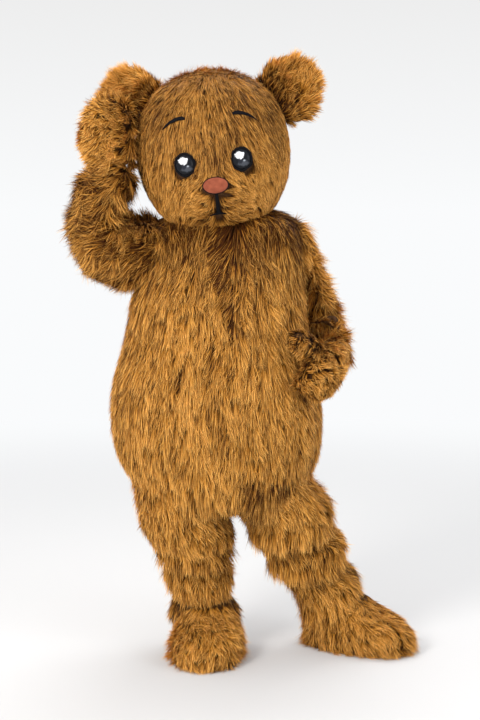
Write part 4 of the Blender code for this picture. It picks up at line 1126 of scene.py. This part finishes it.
for piece, slot_name in ((pad, "nose_cloth"), (cord, "black_felt")):
    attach(piece, "root")
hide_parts("nose")

# ---------------------------------------------------------------------------------------------
# Brows and mouth: strips cut from black felt and glued on the clipped pile, the brows thick at
# their inner ends, the mouth an upright strip that ends in a short curved line.


def strip_skin(rows, sign, rings_count, columns, proud, sunk):
    """A flat tube along a table's line on the face: its half width times cos aside, and
    between its sunk and its proud height times sin forwards."""
    table = rows_at(rows, np.linspace(0, len(rows) - 1, rings_count))
    line = table[:, :2] * np.array([sign, 1.0])
    way = unit(np.gradient(line, axis=0))
    turns = np.linspace(0, 2 * math.pi, columns + 1)
    c, s = squared_turns(turns, 4.0)
    aside = np.stack([-way[:, 1], way[:, 0]], axis=1)[:, None] * table[:, 2:3, None]
    aside = aside * c[None, :, None] * sign
    flat = line[:, None] + aside
    lift = (proud - sunk) / 2 + (proud + sunk) / 2 * s[None, :] + 0 * flat[..., 0]
    y = face_y(flat[..., 0], flat[..., 1]) - lift
    return head_to_part(np.stack([flat[..., 0], y, flat[..., 1]], axis=-1))


strips = (
    ("brow_right", BROW_ROWS, -1, "brow_right"),
    ("brow_left", BROW_ROWS, 1, "brow_left"),
    ("mouth_seam", MOUTH_SEAM_ROWS, 1, "mouth"),
    ("mouth_line", MOUTH_LINE_ROWS, 1, None),
)
for name, rows, sign, node in strips:
    strip = closed_piece(name + "_felt", strip_skin(rows, sign, 24, 12, 0.005, 0.008), black_felt)
    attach(strip, "root")
    if node:
        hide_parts(node)

# ---------------------------------------------------------------------------------------------
# Ears: a cupped front and a back of long fur fabric, sewn at the rim and set on the head.
EAR_PLACE = {"right": (-0.220, 0.164), "left": (0.238, 0.150)}
EAR_RADIUS = (0.100, 0.102)
EAR_YAW = math.radians(14.0)
EAR_SET_BACK = 0.045
EAR_ROWS = (
    # radius_share, cup_y, seam_y, back_y
    (0.05, 0.014, 0.026, 0.042),
    (0.30, 0.011, 0.024, 0.040),
    (0.58, -0.002, 0.014, 0.032),
    (0.82, -0.016, 0.002, 0.020),
    (1.00, -0.014, -0.003, 0.008),
)
EAR_SHARE = 0.82            # of the ear's radius that its cloth reaches; the pile does the rest


def ear_skin(side_name, column, rings_count, columns):
    """A dish: rings of growing radius, each at the depth that its table gives."""
    sign = 1.0 if side_name == "left" else -1.0
    table = rows_at(EAR_ROWS, np.linspace(0, len(EAR_ROWS) - 1, rings_count))
    share, depth = table[:, 0], table[:, column]
    turns = np.linspace(0, 2 * math.pi, columns + 1)
    x = EAR_SHARE * EAR_RADIUS[0] * share[:, None] * np.cos(turns)
    z = EAR_SHARE * EAR_RADIUS[1] * share[:, None] * np.sin(turns)
    y = depth[:, None] + 0 * x
    c, s = math.cos(EAR_YAW * sign), math.sin(EAR_YAW * sign)
    placed = np.stack([x * c - y * s, x * s + y * c, z], axis=-1)
    aside, up = EAR_PLACE[side_name]
    return head_to_part(placed + np.array([aside, EAR_SET_BACK, up]))


def in_head(points):
    """True where a point lies inside the head's outline."""
    x, y, z = (points - np.array(HEAD_CENTRE) - np.array([0.0, 0.0, FLOOR_Z])).T
    c, s = math.cos(HEAD_ROLL), math.sin(HEAD_ROLL)
    x, z = x * c + z * s, z * c - x * s
    table = np.array(HEAD_ROWS)
    half_width, front, back = (np.interp(z, table[:, 0], table[:, k]) for k in (1, 2, 3))
    v = (y - (back - front) / 2) / ((back + front) / 2)
    return (np.abs(x / half_width) ** 2.2 + np.abs(v) ** 2.2 < 0.94) & (z > table[0, 0])


def clear_of_head(points):
    """True where an ear's backing shows outside the head."""
    return ~in_head(points)


for index, side_name in enumerate(("right", "left")):
    aside, up = EAR_PLACE[side_name]
    outwards = np.array([aside, 0.0, up]) / math.hypot(aside, up)
    middle = np.array([aside, EAR_SET_BACK, up])
    base = head_to_part(middle - 0.115 * outwards)
    for face, column in (("front", 1), ("back", 3)):
        skin = ear_skin(side_name, column, 14, 36)
        if face == "front":
            skin = skin[:, ::-1]
        skin = skin - outward(skin) * 0.003
        comb = unit(skin - base) + np.array([0.0, 0.0, 0.10])
        from_base = np.linalg.norm(skin - base, axis=-1)
        rim = np.clip((from_base - 0.11) / 0.06, 0, 1)
        under = rim * np.clip(unit(skin - skin[:1])[..., 2] * -1.0 - 0.1, 0, 1)
        near_head = np.clip((0.135 - from_base) / 0.07, 0, 1)
        # Darker near the head, most on the cupped front: painted shade where the ear meets the head.
        tone = 0.58 + 0.12 * rim - (0.62 if face == "front" else 0.15) * near_head
        locks = fur("ear_" + side_name + "_" + face + "_pile", skin, comb, 9000, long_fur,
                    700 + 10 * index + column, length=0.040 + 0.026 * rim + 0.044 * under,
                    ruffle=0.30, depth=0.008, stiff=0.7, bend=0.45, flick=0.028,
                    clump_size=(0.080, 0.0075), clump=0.68, tone=tone, hang=0.85 * under,
                    keep=clear_of_head)
        cloth_piece("ear_" + side_name + "_" + face + "_cloth", skin, "ear_" + side_name + "_" + face,
                    (0.172, 0.172), 0.0238, "stretched", [], "long_fur", backing, [locks],
                    cap_start=True)
